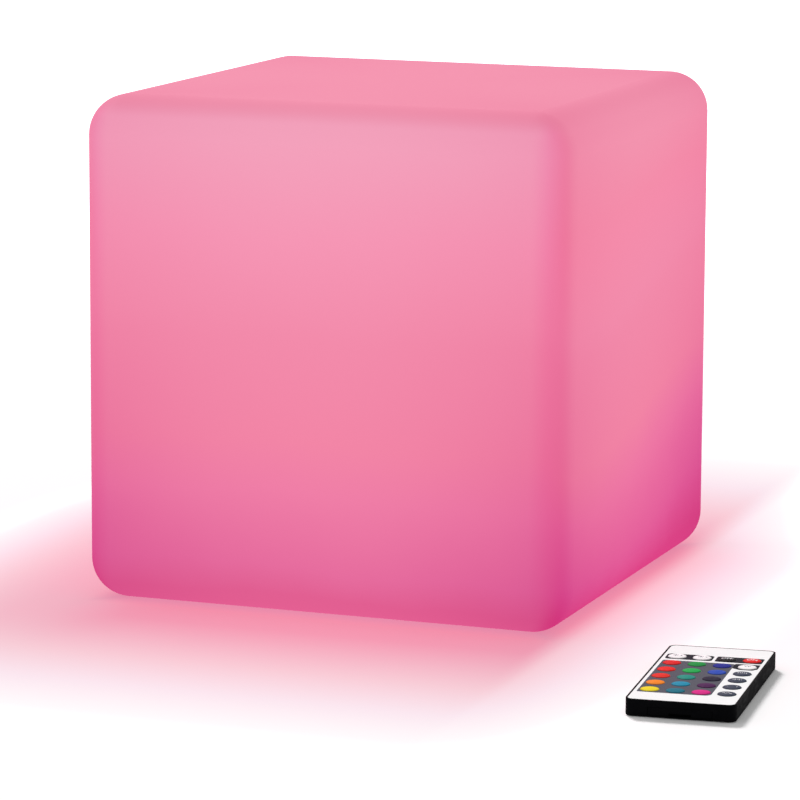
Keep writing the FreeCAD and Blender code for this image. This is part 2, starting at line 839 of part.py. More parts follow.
def make_port_cover(d):
    """Rubber flap over the jack: a plate with a finger tab, a tapered nose and a barrel round its pin."""
    body = new_body("port_cover")
    tab = d.jack_x + 9.2
    plate = block_pad(
        body,
        d.port_hinge_x + 0.6,
        tab,
        d.controls_y - 5.6,
        d.controls_y + 5.6,
        d.port_cover_bottom,
        d.port_cover_top,
    )
    soften(body, plate, edges_where(plate, lambda m, way: abs(way.z) > 0.99 and m.x > d.jack_x.value), 4)
    nose = new_sketch(body, height=d.port_cover_top - 0.2)
    add_circle(nose, d.jack_x, d.controls_y, 2.3)
    plug = pad(body, nose, 1.6)
    plug.TaperAngle = -8
    barrel = new_sketch(body, "XZ_Plane", -(d.controls_y + 5.6))
    add_circle(barrel, d.port_hinge_x, d.port_hinge_z, 1.5)
    pad(body, barrel, 11.2)
    bore = new_sketch(body, "XZ_Plane", -(d.controls_y + 10))
    add_circle(bore, d.port_hinge_x, d.port_hinge_z, d.port_pin_radius + 0.05)
    body.Tip = pocket(body, bore, 20, up=True)
    keep("port_cover", body)


def make_port_cover_pin(d):
    body = new_body("port_cover_pin")
    end = new_sketch(body, "XZ_Plane", -(d.controls_y + 8.2))
    add_circle(end, d.port_hinge_x, d.port_hinge_z, d.port_pin_radius)
    pad(body, end, 16.4)
    keep("port_cover_pin", body)


def make_power_switch(d):
    """Sealed push switch: a threaded body with a ledge that holds the button in."""
    guide = d.switch_bore
    room = guide + 0.8
    body = new_body("power_switch")
    turned(
        body,
        [
            (guide, d.bezel_bottom),
            (d.bezel_radius, d.bezel_bottom),
            (d.bezel_radius, d.bezel_top),
            (d.thread_radius - 0.05, d.bezel_top),
            (d.thread_radius - 0.05, 16),
            (4.6, 16),
            (4.6, 18.5),
            (0, 18.5),
            (0, d.switch_bore_end),
            (room, d.switch_bore_end),
            (room, d.switch_ledge),
            (guide, d.switch_ledge),
        ],
    )
    for x in (-2.4, 2.4):
        block_pad(body, x - 0.8, x + 0.8, -0.2, 0.2, 18, 20.5)
    keep("power_switch", place(body, d.button_x, d.controls_y))


def make_power_button(d):
    """Plunger with a collar behind the ledge and a shallow finger dish in its end."""
    collar_top = d.switch_ledge + 1.6
    body = new_body("power_button")
    turned(
        body,
        [
            (0, d.button_bottom + 0.4),
            (d.button_radius - 0.9, d.button_bottom, "dome"),
            (d.button_radius - 0.3, d.button_bottom),
            (d.button_radius, d.button_bottom + 0.3),
            (d.button_radius, d.switch_ledge),
            (d.button_radius + 0.8, d.switch_ledge),
            (d.button_radius + 0.8, collar_top),
            (0, collar_top),
        ],
    )
    keep("power_button", place(body, d.button_x, d.controls_y))


def make_button_spring(d):
    """Return spring between the plunger's collar and the end of the switch's bore."""
    wire, coil = 0.3, 2.8
    low = d.switch_ledge + 1.6
    turns = 4
    rise = d.switch_bore_end.value - low.value - 2 * wire
    helix = Part.makeHelix(rise / turns, rise, coil)
    section = Part.Wire(Part.makeCircle(wire, Vector(coil, 0, 0), Vector(0, 1, 0)))
    spring = doc.addObject("Part::Feature", "button_spring_coil")
    spring.Shape = Part.Wire(helix.Edges).makePipeShell([section], True, True)
    keep("button_spring", place(spring, d.button_x, d.controls_y, low + wire))


def make_charge_indicator(d):
    """Light pipe in the panel that shows the charging state."""
    body = new_body("charge_indicator")
    turned(
        body,
        [
            (0, d.panel_bottom - 0.5),
            (d.indicator_radius, d.panel_bottom - 0.3),
            (d.indicator_radius, d.panel_top),
            (d.indicator_radius + 0.8, d.panel_top),
            (d.indicator_radius + 0.8, d.panel_top + 1),
            (0, d.panel_top + 1),
        ],
    )
    keep("charge_indicator", place(body, 0, d.indicator_y))


# ---- internal leads ----


def lead(name, points, radius):
    """A lead along straight runs joined by tangent arcs, each arc as large as its two runs allow."""
    spots = [Vector(*(size(c).value for c in p)) for p in points]
    edges, here = [], spots[0]
    for before, corner, after in zip(spots, spots[1:], spots[2:]):
        into, out = (corner - before).normalize(), (after - corner).normalize()
        turn = into.getAngle(out)
        reach = 0.45 * min((corner - before).Length, (after - corner).Length)
        begin, finish = corner - into * reach, corner + out * reach
        bulge = reach / math.tan(turn / 2) * (1 / math.cos(turn / 2) - 1)
        middle = corner + (out - into).normalize() * bulge
        edges += [Part.LineSegment(here, begin).toShape(), Part.Arc(begin, middle, finish).toShape()]
        here = finish
    edges.append(Part.LineSegment(here, spots[-1]).toShape())
    route = Part.Wire(edges)
    start = (spots[1] - spots[0]).normalize()
    section = Part.Wire(Part.makeCircle(radius.value, spots[0], start))
    item = doc.addObject("Part::Feature", name)
    item.Shape = route.makePipeShell([section], True, False)
    print(name, "length", round(route.Length, 1), "volume share", round(
        item.Shape.Volume / (route.Length * math.pi * radius.value**2), 4))
    return item


def make_leads(d):
    """Red and black leads inside the housing: battery, jack, switch and light board to the control board."""
    board = d.control_board_bottom
    above = board + d.board_thick
    cell_end = d.cell_length / 2
    y, z = d.cell_middle_y, d.cell_height
    side = d.controls_y
    terminal = 20.5
    red = [
        [(cell_end + 0.7, y, z), (cell_end + 3.2, y, z), (cell_end + 2.9, y - 8, z + 9),
         (22, 2, board - 2), (22, 2, board)],
        [(d.jack_x - 2.6, side, terminal), (d.jack_x - 2.6, side, 23.5),
         (d.jack_x - 2.2, side + 2, board - 2.8), (d.jack_x - 2.2, side + 2, board)],
        [(d.button_x + 2.4, side, terminal), (d.button_x + 2.4, side, 23.5),
         (d.button_x + 2, side + 2, board - 2.8), (d.button_x + 2, side + 2, board)],
        [(-2, -14, above + 3.2), (-2, -14, above + 4.6), (-1.5, -12, d.housing_top - 1.6),
         (-1.5, -12, d.housing_top)],
    ]
    black = [
        [(-cell_end, y, z), (-cell_end - 3.2, y, z), (-cell_end - 2.9, y - 8, z + 9),
         (-22, 2, board - 2), (-22, 2, board)],
        [(d.jack_x + 2.6, side, terminal), (d.jack_x + 2.6, side, 23.5),
         (d.jack_x + 2.2, side + 2, board - 2.8), (d.jack_x + 2.2, side + 2, board)],
        [(d.button_x - 2.4, side, terminal), (d.button_x - 2.4, side, 23.5),
         (d.button_x - 2, side + 2, board - 2.8), (d.button_x - 2, side + 2, board)],
        [(1.5, -14, above + 3.2), (1.5, -14, above + 4.6), (1.7, -12, d.housing_top - 1.6),
         (1.7, -12, d.housing_top)],
    ]
    for name, routes in (("leads_red", red), ("leads_black", black)):
        keep(name, group(name + "_group", [lead(name, r, d.lead_radius) for r in routes]))


# ---- the remote, modelled about its own middle with +Y towards the emitter end ----


def lay_remote_piece(d, name, item, x=0, y=0):
    """Places a piece of the remote where the remote lies, from the piece's own x, y in the remote."""
    x, y = size(x), size(y)
    c, s = cosine(d.remote_turn), sine(d.remote_turn)
    place(item, d.remote_x + c * x - s * y, d.remote_y + s * x + c * y, 0, d.remote_turn)
    keep(name, item)


def key_spots(d):
    """Every key's name with its place in the remote."""
    for row, names in enumerate(KEY_ROWS):
        for column, name in enumerate(names):
            yield name, d.key_pitch_x * (column - 1.5), d.key_row_y + d.key_pitch_y * row


def make_remote_case(d):
    """Black tray of the remote: a ledge for the circuit board, a slot for the battery tray, a hole for the
    emitter."""
    half_w, half_l = d.remote_width / 2, d.remote_length / 2
    body = new_body("remote_case")
    rim, ledge = d.remote_rim, d.remote_ledge
    block_pad(body, -half_w, half_w, -half_l, half_l, 0, d.remote_height)
    upper = block_pocket(
        body, rim - half_w, half_w - rim, rim - half_l, half_l - rim, d.remote_ledge_top, d.remote_height + 1
    )
    inner = edges_where(upper, lambda m, way: upright(m, way) and m.z > 4)
    rounded = soften(body, upper, inner, d.remote_corner - rim)
    outer = edges_where(rounded, lambda m, way: upright(m, way) and m.z < 4)
    rounded = soften(body, rounded, outer, d.remote_corner)
    soften(body, rounded, edges_where(rounded, lambda m, way: m.z < 0.01), 0.6)
    block_pocket(
        body, ledge - half_w, half_w - ledge, ledge - half_l, half_l - ledge, d.remote_floor, d.remote_height
    )
    slot = d.tray_width / 2 + d.wide_gap
    block_pocket(
        body, -slot, slot, -half_l - 1, ledge - half_l + 1, d.tray_bottom - 0.15, d.tray_top + 0.1
    )
    port = new_sketch(body, "XZ_Plane", -(half_l - 5))
    add_circle(port, 0, d.emitter_height, d.emitter_radius + 0.05)
    body.Tip = pocket(body, port, 10)
    lay_remote_piece(d, "remote_case", body)


def make_remote_face(d):
    """White plate that closes the remote, with a round hole for every key."""
    gap = d.remote_rim + d.gap / 2
    half_w, half_l = d.remote_width / 2 - gap, d.remote_length / 2 - gap
    body = new_body("remote_face")
    plate = block_pad(body, -half_w, half_w, -half_l, half_l, d.face_bottom, d.remote_height)
    soften(body, plate, edges_where(plate, upright), d.remote_corner - gap)
    holes = new_sketch(body, height=d.face_bottom - 1)
    for _, x, y in key_spots(d):
        add_circle(holes, x, y, d.key_radius + d.gap)
    body.Tip = pocket(body, holes, 4, up=True)
    lay_remote_piece(d, "remote_face", body)


def make_remote_board(d):
    half_w = d.remote_width / 2 - d.remote_rim - d.wide_gap
    near = -d.remote_length / 2 + d.remote_rim + d.wide_gap
    body = new_body("remote_board")
    low = d.remote_ledge_top
    plate = block_pad(body, -half_w, half_w, near, 36, low, low + d.remote_board_thick)
    soften(body, plate, edges_where(plate, upright), d.remote_corner - d.remote_rim)
    lay_remote_piece(d, "remote_board", body)


def make_remote_domes(d):
    """Sheet of snap domes on the circuit board, one under every key."""
    low = d.remote_ledge_top + d.remote_board_thick
    body = new_body("remote_domes")
    block_pad(body, -17.5, 17.5, -32.5, 30, low, low + 0.1)
    domes = new_sketch(body, height=low)
    for _, x, y in key_spots(d):
        add_circle(domes, x, y, d.dome_radius)
    bumps = pad(body, domes, d.dome_height + 0.1)
    bumps.TaperAngle = -60
    body.Tip = bumps
    lay_remote_piece(d, "remote_domes", body)


def make_remote_emitter(d):
    """Three-millimetre infrared lamp that looks out of the remote's far end."""
    far = d.remote_length / 2
    body = new_body("remote_emitter")
    stem = new_sketch(body, "XZ_Plane", -(far - 4.6))
    add_circle(stem, 0, 0, d.emitter_radius)
    glass = pad(body, stem, 4.9, down=True)
    soften(body, glass, edges_where(glass, lambda m, way: m.y > far.value), 1.2)
    collar = new_sketch(body, "XZ_Plane", -(far - 5.4))
    add_circle(collar, 0, 0, d.emitter_radius - 0.05)
    body.Tip = pad(body, collar, 1, down=True)
    lay_remote_piece(d, "remote_emitter", body)
    bind_height(body, d.emitter_height)


def bind_height(item, height):
    """Lifts an already placed piece to a height bound to the sheet."""
    item.Placement.Base.z = height.value
    item.setExpression("Placement.Base.z", height.text)


def make_remote_board_parts(d):
    """Under the circuit board: the drop of resin over its chip, and the two battery contacts."""
    top = d.remote_ledge_top
    body = new_body("remote_board_parts")
    disc_pad(body, 0, 18, 4.5, top - 1.1, top)
    block_pad(body, -3, 3, -30, -22, top - 0.12, top)
    edge = coin_middle(d) + d.coin_radius
    body.Tip = block_pad(body, -2.4, 2.4, edge + 0.1, edge + 0.3, d.remote_floor, top)
    lay_remote_piece(d, "remote_board_parts", body)


def coin_middle(d):
    """Where the coin cell's middle lies along the remote."""
    return -d.remote_length / 2 + 14.6


def make_remote_tray(d):
    """Pull-out tray for the coin cell, its front flush with the remote's end, with a grip for a fingernail."""
    near = -d.remote_length / 2
    half = d.tray_width / 2
    body = new_body("remote_tray")
    block_pad(body, -half, half, near, near + d.tray_length, d.tray_bottom, d.tray_top)
    disc_pocket(body, 0, coin_middle(d), d.coin_radius + 0.15, d.tray_bottom + 0.25, 10)
    body.Tip = block_pocket(body, -4, 4, near - 1, near + 1.6, 0, d.tray_bottom + 0.9)
    lay_remote_piece(d, "remote_tray", body)


def make_coin_cell(d):
    """Coin cell: the wide can with the smaller cap above it."""
    low = d.tray_bottom + 0.25
    top = low + d.coin_thick
    body = new_body("coin_cell")
    turned(
        body,
        [
            (0, low),
            (d.coin_radius - 0.3, low),
            (d.coin_radius, low + 0.3),
            (d.coin_radius, top - 0.4),
            (d.coin_radius - 1.2, top - 0.4),
            (d.coin_radius - 1.4, top),
            (0, top),
        ],
    )
    lay_remote_piece(d, "coin_cell", body, 0, coin_middle(d))


def make_remote_keys(d):
    """Twenty-four crowned keys, each with a collar that stays under the face."""
    collar_top = d.key_bottom + 0.3
    for name, x, y in key_spots(d):
        body = new_body("key_" + name)
        turned(
            body,
            [
                (0, d.key_bottom),
                (d.key_collar, d.key_bottom),
                (d.key_collar, collar_top),
                (d.key_radius, collar_top),
                (d.key_radius, d.key_edge_height - 0.15),
                (d.key_radius - 0.15, d.key_edge_height),
                (0, d.key_crown_height, "dome"),
            ],
        )
        lay_remote_piece(d, "key_" + name, body, x, y)


# ---- build, test and write ----


def check():
    """Stops on any object that failed, or any piece whose shape is missing or wrong."""
    doc.recompute()
    failed = [o.Name for o in doc.Objects if {"Invalid", "Error"} & set(o.State)]
    bad = [n for n, p in pieces.items() if p.Shape.isNull() or not p.Shape.isValid() or not p.Shape.Solids]
    if failed or bad:
        raise SystemExit(f"failed objects {failed}, bad pieces {bad}")


def write():
    os.makedirs("parts", exist_ok=True)
    for name, piece in pieces.items():
        piece.Shape.exportStep(f"parts/{name}.step")
        extent = piece.Shape.BoundBox
        print(name, len(piece.Shape.Solids), "solids, height", round(extent.ZMin, 2), round(extent.ZMax, 2))


def main():
    d = fill_sheet()
    for make in (
        make_shell,
        make_shell_inserts,
        make_base_cover,
        make_base_gasket,
        make_base_screws,
        make_light_housing,
        make_housing_screws,
        make_led_board,
        make_led_chips,
        make_ir_receiver,
        make_light_lens,
        make_lens_screws,
        make_control_board,
        make_board_parts,
        make_small_screws,
        make_battery_cell,
        make_battery_clamp,
        make_charge_jack,
        make_panel_nuts,
        make_panel_seals,
        make_port_cover,
        make_port_cover_pin,
        make_power_switch,
        make_power_button,
        make_button_spring,
        make_charge_indicator,
        make_leads,
        make_remote_case,
        make_remote_face,
        make_remote_board,
        make_remote_domes,
        make_remote_emitter,
        make_remote_board_parts,
        make_remote_tray,
        make_coin_cell,
        make_remote_keys,
    ):
        make(d)
    check()
    write()


main()
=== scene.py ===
"""Finishes, print and small trim of a glowing cube light and its flat remote, on a plain studio floor."""

import math

import bmesh
import bpy
from bpy.props import FloatProperty, FloatVectorProperty, PointerProperty
from mathutils import Matrix, Vector


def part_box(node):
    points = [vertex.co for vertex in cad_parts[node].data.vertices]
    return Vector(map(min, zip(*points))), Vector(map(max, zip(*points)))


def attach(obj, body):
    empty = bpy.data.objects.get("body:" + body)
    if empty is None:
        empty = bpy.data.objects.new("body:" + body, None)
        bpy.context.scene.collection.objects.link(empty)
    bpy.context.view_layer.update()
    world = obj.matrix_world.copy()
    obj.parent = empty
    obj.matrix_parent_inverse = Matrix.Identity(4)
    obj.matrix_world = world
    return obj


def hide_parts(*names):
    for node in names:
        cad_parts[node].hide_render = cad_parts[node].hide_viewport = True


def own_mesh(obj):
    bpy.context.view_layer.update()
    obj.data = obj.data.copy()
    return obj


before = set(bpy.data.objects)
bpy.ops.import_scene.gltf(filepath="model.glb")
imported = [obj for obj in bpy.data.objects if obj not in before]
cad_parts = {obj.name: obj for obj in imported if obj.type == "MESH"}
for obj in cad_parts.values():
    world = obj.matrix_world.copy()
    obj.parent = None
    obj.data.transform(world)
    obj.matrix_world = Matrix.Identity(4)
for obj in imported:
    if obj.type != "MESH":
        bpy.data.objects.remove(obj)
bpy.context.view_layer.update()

bl_info = {
    "name": "Cube Light",
    "version": (1, 0, 0),
    "blender": (4, 5, 0),
    "location": "View3D > Sidebar > Cube Light",
    "description": "Finishes a glowing cube light and its flat remote, and sets the stage around them",
    "category": "Object",
}

MM = 0.001
CUBE_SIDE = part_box("shell")[1].z
HALF = CUBE_SIDE / 2

# The remote's keys and their plastics, row by row from its near end
KEY_ROWS = (
    {"yellow": "EBD61F", "deep_cyan": "0B6D80", "magenta": "D31C82", "smooth": "363E4E"},
    {"orange": "F0861D", "cyan": "1188A8", "purple": "430F49", "fade": "363E4E"},
    {"vermilion": "DE2A1C", "teal": "14897A", "indigo": "130D29", "strobe": "363E4E"},
    {"scarlet": "E32018", "light_green": "12A54B", "light_blue": "2448AE", "flash": "363E4E"},
    {"red": "DB1717", "green": "0E8A3C", "blue": "141F86", "white": "FAFAFA"},
    {"brighter": "FAFAFA", "dimmer": "FAFAFA", "off": "0D0D10", "on": "DD1F1C"},
)
KEY_COLOURS = {key: code for row in KEY_ROWS for key, code in row.items()}


# ---- sizes and colours that a user would change ----


def pigment(code):
    """Scene-linear colour of a six-digit screen colour."""
    shares = [int(code[i : i + 2], 16) / 255 for i in (0, 2, 4)]
    return tuple(c / 12.92 if c <= 0.04045 else ((c + 0.055) / 1.055) ** 2.4 for c in shares)


def colour_setting(name, description, code):
    return FloatVectorProperty(
        name=name, description=description, default=pigment(code), subtype="COLOR", min=0, max=1
    )


def length_setting(name, description, default):
    return FloatProperty(name=name, description=description, default=default, unit="LENGTH", min=0)


def share_setting(name, description, default, top=1.0):
    return FloatProperty(name=name, description=description, default=default, min=0, max=top)


def angle_setting(name, description, degrees):
    return FloatProperty(
        name=name, description=description, default=math.radians(degrees), subtype="ANGLE", unit="ROTATION"
    )


class CubeGlowSettings(bpy.types.PropertyGroup):
    """How the hollow shell glows. The back glows as the front does."""

    top: colour_setting("Top", "Glow of the top face", "E884A1")
    # The next setting is a painted highlight: a paler band of the front and back just under the top edge.
    face_brow: colour_setting("Face brow", "Glow of the front just under the top edge", "F4A1BC")
    face_upper: colour_setting("Face upper", "Glow of the front at three quarters of the height", "F696B5")
    face_middle: colour_setting("Face middle", "Glow of the front just above half height", "F38BAB")
    face_lower: colour_setting("Face lower", "Glow of the front at a third of the height", "F386A7")
    face_low: colour_setting("Face low", "Glow of the front at a quarter of the height", "F07FA8")
    face_foot: colour_setting("Face foot", "Glow of the front at a tenth of the height", "E76EA0")
    face_sole: colour_setting("Face sole", "Glow of the front at the floor", "E16194")
    # The next four settings are painted shade: they darken the two sides against the front and back, most
    # near the floor and under the top edge.
    side_sole: colour_setting("Side sole", "What the two sides keep of it at the floor", "F7A5E4")
    side_foot: colour_setting("Side foot", "What the two sides keep of it at a tenth of the height", "F9D3F2")
    side_middle: colour_setting("Side middle", "What the two sides keep of it at half height", "FBF4F7")
    side_brow: colour_setting("Side brow", "What the two sides keep of it near the top", "FBE3E8")
    corner_low: colour_setting("Corner low", "What the upright edges keep of it near the floor", "F4D9F0")
    corner_high: colour_setting("Corner high", "What the upright edges keep of it higher up", "FCF1F7")
    lean: share_setting("Lean", "How much higher the bands of the two sides lie at the back", 0.135)
    rim: colour_setting("Rim", "What the roundest part of the upright edges keeps of it", "FDE9F6")
    emission: share_setting("Emission", "Strength of the light that the wall gives off", 0.905, 3.0)
    body: share_setting("Body", "How much of the studio's light the wall returns", 0.13)
    mottle: share_setting("Mottle", "Unevenness of the wall's thickness", 0.07)


class CubeRemoteSettings(bpy.types.PropertyGroup):
    """Print and plastics of the remote."""

    # The face's white is tinted a little cyan to cancel the cube's pink light on it, a painted correction for
    # light.
    face: colour_setting("Face", "White face sheet", "F6FEFC")
    case: colour_setting("Case", "Black case", "060608")
    panel: colour_setting("Panel", "Grey panel behind the colour keys", "575963")
    dark_panel: colour_setting("Dark panel", "Dark panels behind the white key and the top row", "1C1E26")
    mark_light: colour_setting("Light marks", "Print on dark keys", "F0F1F4")
    mark_dark: colour_setting("Dark marks", "Print on white keys", "70757C")
    margin: length_setting("Margin", "Printed panel beyond a key's middle", 4.1 * MM)
    ink: length_setting("Ink", "Thickness of the print", 0.03 * MM)


class CubeKeySettings(bpy.types.PropertyGroup):
    """Plastic of every key."""

    __annotations__ = {
        key: colour_setting(key.replace("_", " ").capitalize(), "Plastic of this key", code)
        for key, code in KEY_COLOURS.items()
    }


class CubeStageSettings(bpy.types.PropertyGroup):
    """Floor, light and camera."""

    # The next five settings are painted light: the cube's pink light on the floor, given as tones of the
    # floor's colour, from beside the cube out to the pool's end.
    pool_heart: colour_setting("Pool heart", "Floor's pink beside the cube", "E394AB")
    pool_inner: colour_setting("Pool inner", "Floor's pink a tenth of the way out", "E499AF")
    pool_middle: colour_setting("Pool middle", "Floor's pink nearly half the way out", "E9C4CD")
    pool_outer: colour_setting("Pool outer", "Floor's pink two thirds of the way out", "EADBE3")
    pool_edge: colour_setting("Pool edge", "Floor's pink near the pool's end", "EFEDEE")
    # The next setting is painted light: a paler pink for the floor under the cube's rounded foot, where it
    # lies in shade.
    pool_under: colour_setting("Pool under", "Floor's pink under the cube", "CE9CB2")
    # The next two settings are painted light: brightening seen only by the camera, mirrors and glass, which
    # fills the shade on the floor near the cube.
    painted_pool_light: colour_setting("Pool glow", "Brightening of the floor beside the cube", "3A3D3E")
    painted_near_light: colour_setting("Near lift", "Brightening of the bare floor near the cube", "707070")
    bare_lift: colour_setting("Bare lift", "Brightening of the bare floor further off", "3C3C3C")
    pool_left: length_setting("Pool left", "Reach of the pink pool to the left", 0.105)
    pool_right: length_setting("Pool right", "Reach of the pink pool to the right", 0.085)
    pool_front: length_setting("Pool front", "Reach of the pink pool to the front", 0.18)
    pool_back: length_setting("Pool back", "Reach of the pink pool to the back", 0.263)
    sky: share_setting("Sky", "Strength of the even studio light", 0.45, 5.0)
    sun: share_setting("Key lamp", "Strength of the key lamp", 2.43, 20.0)
    sun_spread: angle_setting("Key spread", "How wide the key lamp looks", 14)
    camera_place: FloatVectorProperty(
        name="Camera",
        description="Where the camera stands",
        default=(0.59898, -1.60815, 0.37449),
        subtype="TRANSLATION",
        unit="LENGTH",
    )
    camera_yaw: angle_setting("Yaw", "Camera turned left from the front", 20.503)
    camera_pitch: angle_setting("Pitch", "Camera tipped down", 10.042)
    camera_roll: angle_setting("Roll", "Camera's right side raised", 0.293)
    camera_lens: FloatProperty(
        name="Lens", description="Focal length on a 36 mm frame", default=193.19, min=1, unit="CAMERA"
    )


# ---- shader building ----


def add(tree, kind, sockets=None, **settings):
    """A new node with its settings, and its input sockets joined to other sockets or given values."""
    node = tree.nodes.new(kind)
    for name, value in settings.items():
        setattr(node, name, value)
    for key, value in (sockets or {}).items():
        if isinstance(value, bpy.types.NodeSocket):
            tree.links.new(value, node.inputs[key])
        else:
            node.inputs[key].default_value = value
    return node


def compute(tree, operation, first, second=0.0, clamp=False):
    """One step of arithmetic, on sockets or numbers."""
    node = add(tree, "ShaderNodeMath", {0: first, 1: second}, operation=operation, use_clamp=clamp)
    return node.outputs[0]


def blend(tree, mask, first, second, blend_type="MIX"):
    """Colour from first to second, or to their product, as the mask goes from 0 to 1."""
    node = add(tree, "ShaderNodeMix", data_type="RGBA", blend_type=blend_type)
    for slot, value in ((0, mask), (6, first), (7, second)):
        if isinstance(value, bpy.types.NodeSocket):
            tree.links.new(value, node.inputs[slot])
        else:
            node.inputs[slot].default_value = (*value, 1) if slot else value
    return node.outputs[2]


def spread(tree, value, low, high, out_low=0.0, out_high=1.0):
    """A value spread from one range to another, eased at both ends."""
    sockets = {0: value, 1: low, 2: high, 3: out_low, 4: out_high}
    return add(tree, "ShaderNodeMapRange", sockets, interpolation_type="SMOOTHSTEP").outputs[0]


def ramp(tree, value, stops):
    """Colour looked up along (place, colour) stops."""
    node = add(tree, "ShaderNodeValToRGB", {0: value})
    elements = node.color_ramp.elements
    while len(elements) < len(stops):
        elements.new(0.5)
    for element, (place, _) in zip(elements, stops):
        element.position = place
    for element, (_, colour) in zip(elements, stops):
        element.color = (*colour, 1)
    return node.outputs[0]


def surface_noise(tree, place, scale, detail=4.0, roughness=0.55, stretch=None):
    """Noise over the surface, with scale in features per metre. A stretch below 1 draws it out that way."""
    if stretch:
        place = add(tree, "ShaderNodeVectorMath", {0: place, 1: stretch}, operation="MULTIPLY").outputs[0]
    sockets = {"Vector": place, "Scale": scale, "Detail": detail, "Roughness": roughness}
    return add(tree, "ShaderNodeTexNoise", sockets).outputs[0]


def object_place(tree):
    """Where a point of the piece is, in metres."""
    return add(tree, "ShaderNodeTexCoord").outputs["Object"]


def facing_up(tree):
    """How far the surface faces up, from -1 to 1."""
    facing = add(tree, "ShaderNodeNewGeometry").outputs["Normal"]
    return add(tree, "ShaderNodeSeparateXYZ", {0: facing}).outputs["Z"]


def seen_rays(tree):
    """1 for rays from the camera, mirrors and glass, and 0 for the light that falls on the object."""
    rays = add(tree, "ShaderNodeLightPath").outputs
    seen = compute(tree, "MAXIMUM", rays["Is Camera Ray"], rays["Is Glossy Ray"])
    return compute(tree, "MAXIMUM", seen, rays["Is Transmission Ray"])


def effect(name, inputs, outputs):
    """A new shader node group of plain values: its inputs with their defaults, and its outputs' names."""
    tree = bpy.data.node_groups.new(name, "ShaderNodeTree")
    for socket_name, default in inputs.items():
        socket = tree.interface.new_socket(socket_name, in_out="INPUT", socket_type="NodeSocketFloat")
        socket.default_value = default
    for socket_name in outputs:
        tree.interface.new_socket(socket_name, in_out="OUTPUT", socket_type="NodeSocketFloat")
    inside = tree.nodes.new("NodeGroupInput")
    outside = tree.nodes.new("NodeGroupOutput")
    return tree, inside.outputs, outside.inputs


def build_moulded_grain():
    """Fine pebbled skin of a moulded part, with slow changes in its colour."""
    defaults = {"Grain size": 0.6 * MM, "Mottle size": 20 * MM}
    tree, given, wanted = effect("Moulded grain", defaults, ["Height", "Mottle"])
    place = object_place(tree)
    fine = surface_noise(tree, place, compute(tree, "DIVIDE", 1.0, given["Grain size"]), 3.0)
    slow = surface_noise(tree, place, compute(tree, "DIVIDE", 1.0, given["Mottle size"]), 2.0)
    tree.links.new(fine, wanted["Height"])
    tree.links.new(slow, wanted["Mottle"])
    return tree


def build_handling():
    """Where fingers have polished a surface or left it dull."""
    tree, given, wanted = effect("Handling", {"Patch size": 8 * MM, "Amount": 1.0}, ["Mask"])
    place = object_place(tree)
    patches = surface_noise(tree, place, compute(tree, "DIVIDE", 1.0, given["Patch size"]), 5.0, 0.6)
    streaks = surface_noise(tree, place, 900.0, 2.0, 0.5, (1.0, 0.12, 1.0))
    mixed = compute(tree, "MULTIPLY", patches, compute(tree, "ADD", streaks, 0.5))
    marks = spread(tree, mixed, 0.35, 0.75)
    tree.links.new(compute(tree, "MULTIPLY", marks, given["Amount"]), wanted["Mask"])
    return tree


def build_dust():
    """A little dust on what faces up."""
    tree, given, wanted = effect("Dust", {"Amount": 0.2}, ["Mask"])
    specks = surface_noise(tree, object_place(tree), 1400.0, 6.0, 0.7)
    settled = spread(tree, facing_up(tree), 0.2, 0.95)
    mask = compute(tree, "MULTIPLY", settled, spread(tree, specks, 0.5, 0.78))
    tree.links.new(compute(tree, "MULTIPLY", mask, given["Amount"]), wanted["Mask"])
    return tree


def build_tool_lines():
    """Fine lines of turned or drawn metal. A small Draw stretches them upwards, and 1 leaves plain grain."""
    tree, given, wanted = effect("Tool lines", {"Draw": 0.06}, ["Height"])
    stretch = add(tree, "ShaderNodeCombineXYZ", {0: 1.0, 1: 1.0, 2: given["Draw"]}).outputs[0]
    lines = surface_noise(tree, object_place(tree), 4000.0, 3.0, 0.6, stretch)
    tree.links.new(lines, wanted["Height"])
    return tree


def build_ink_cover():
    """Faint clouds in printed ink."""
    tree, given, wanted = effect("Ink cover", {"Cloud size": 6 * MM}, ["Cloud"])
    cloud = surface_noise(tree, object_place(tree), compute(tree, "DIVIDE", 1.0, given["Cloud size"]))
    tree.links.new(cloud, wanted["Cloud"])
    return tree


EFFECTS = {
    "Moulded grain": build_moulded_grain,
    "Handling": build_handling,
    "Dust": build_dust,
    "Tool lines": build_tool_lines,
    "Ink cover": build_ink_cover,
}


def use_effect(tree, name, **inputs):
    """Places a shared effect in a material and returns its outputs."""
    shared = bpy.data.node_groups.get(name) or EFFECTS[name]()
    node = add(tree, "ShaderNodeGroup", node_tree=shared)
    for key, value in inputs.items():
        node.inputs[key.replace("_", " ")].default_value = value
    return node.outputs


def new_material(name, **sockets):
    """A material with its own Principled shader, its sockets set by name."""
    material = bpy.data.materials.new(name)
    material.use_nodes = True
    shader = material.node_tree.nodes["Principled BSDF"]
    for key, value in sockets.items():
        socket = shader.inputs[key.replace("_", " ")]
        socket.default_value = (*value, 1) if socket.type == "RGBA" else value
    return material, material.node_tree, shader


def join(tree, output, shader, socket):
    """Leads an output to one of the shader's sockets."""
    tree.links.new(output, shader.inputs[socket])


def handle(tree, shader, patches, untouched, touched):
    """Roughness that changes where the piece is touched, in patches of a size in millimetres."""
    marks = use_effect(tree, "Handling", Patch_size=patches * MM)["Mask"]
    join(tree, spread(tree, marks, 0, 1, untouched, touched), shader, "Roughness")


def bump(tree, shader, height, depth):
    """Raises the surface by a height of up to depth metres."""
    node = add(tree, "ShaderNodeBump", {"Height": height, "Distance": depth, "Strength": 1.0})
    join(tree, node.outputs[0], shader, "Normal")


def tint(colour, factor):
    """A colour made darker or lighter."""
    return tuple(min(1.0, c * factor) for c in colour)


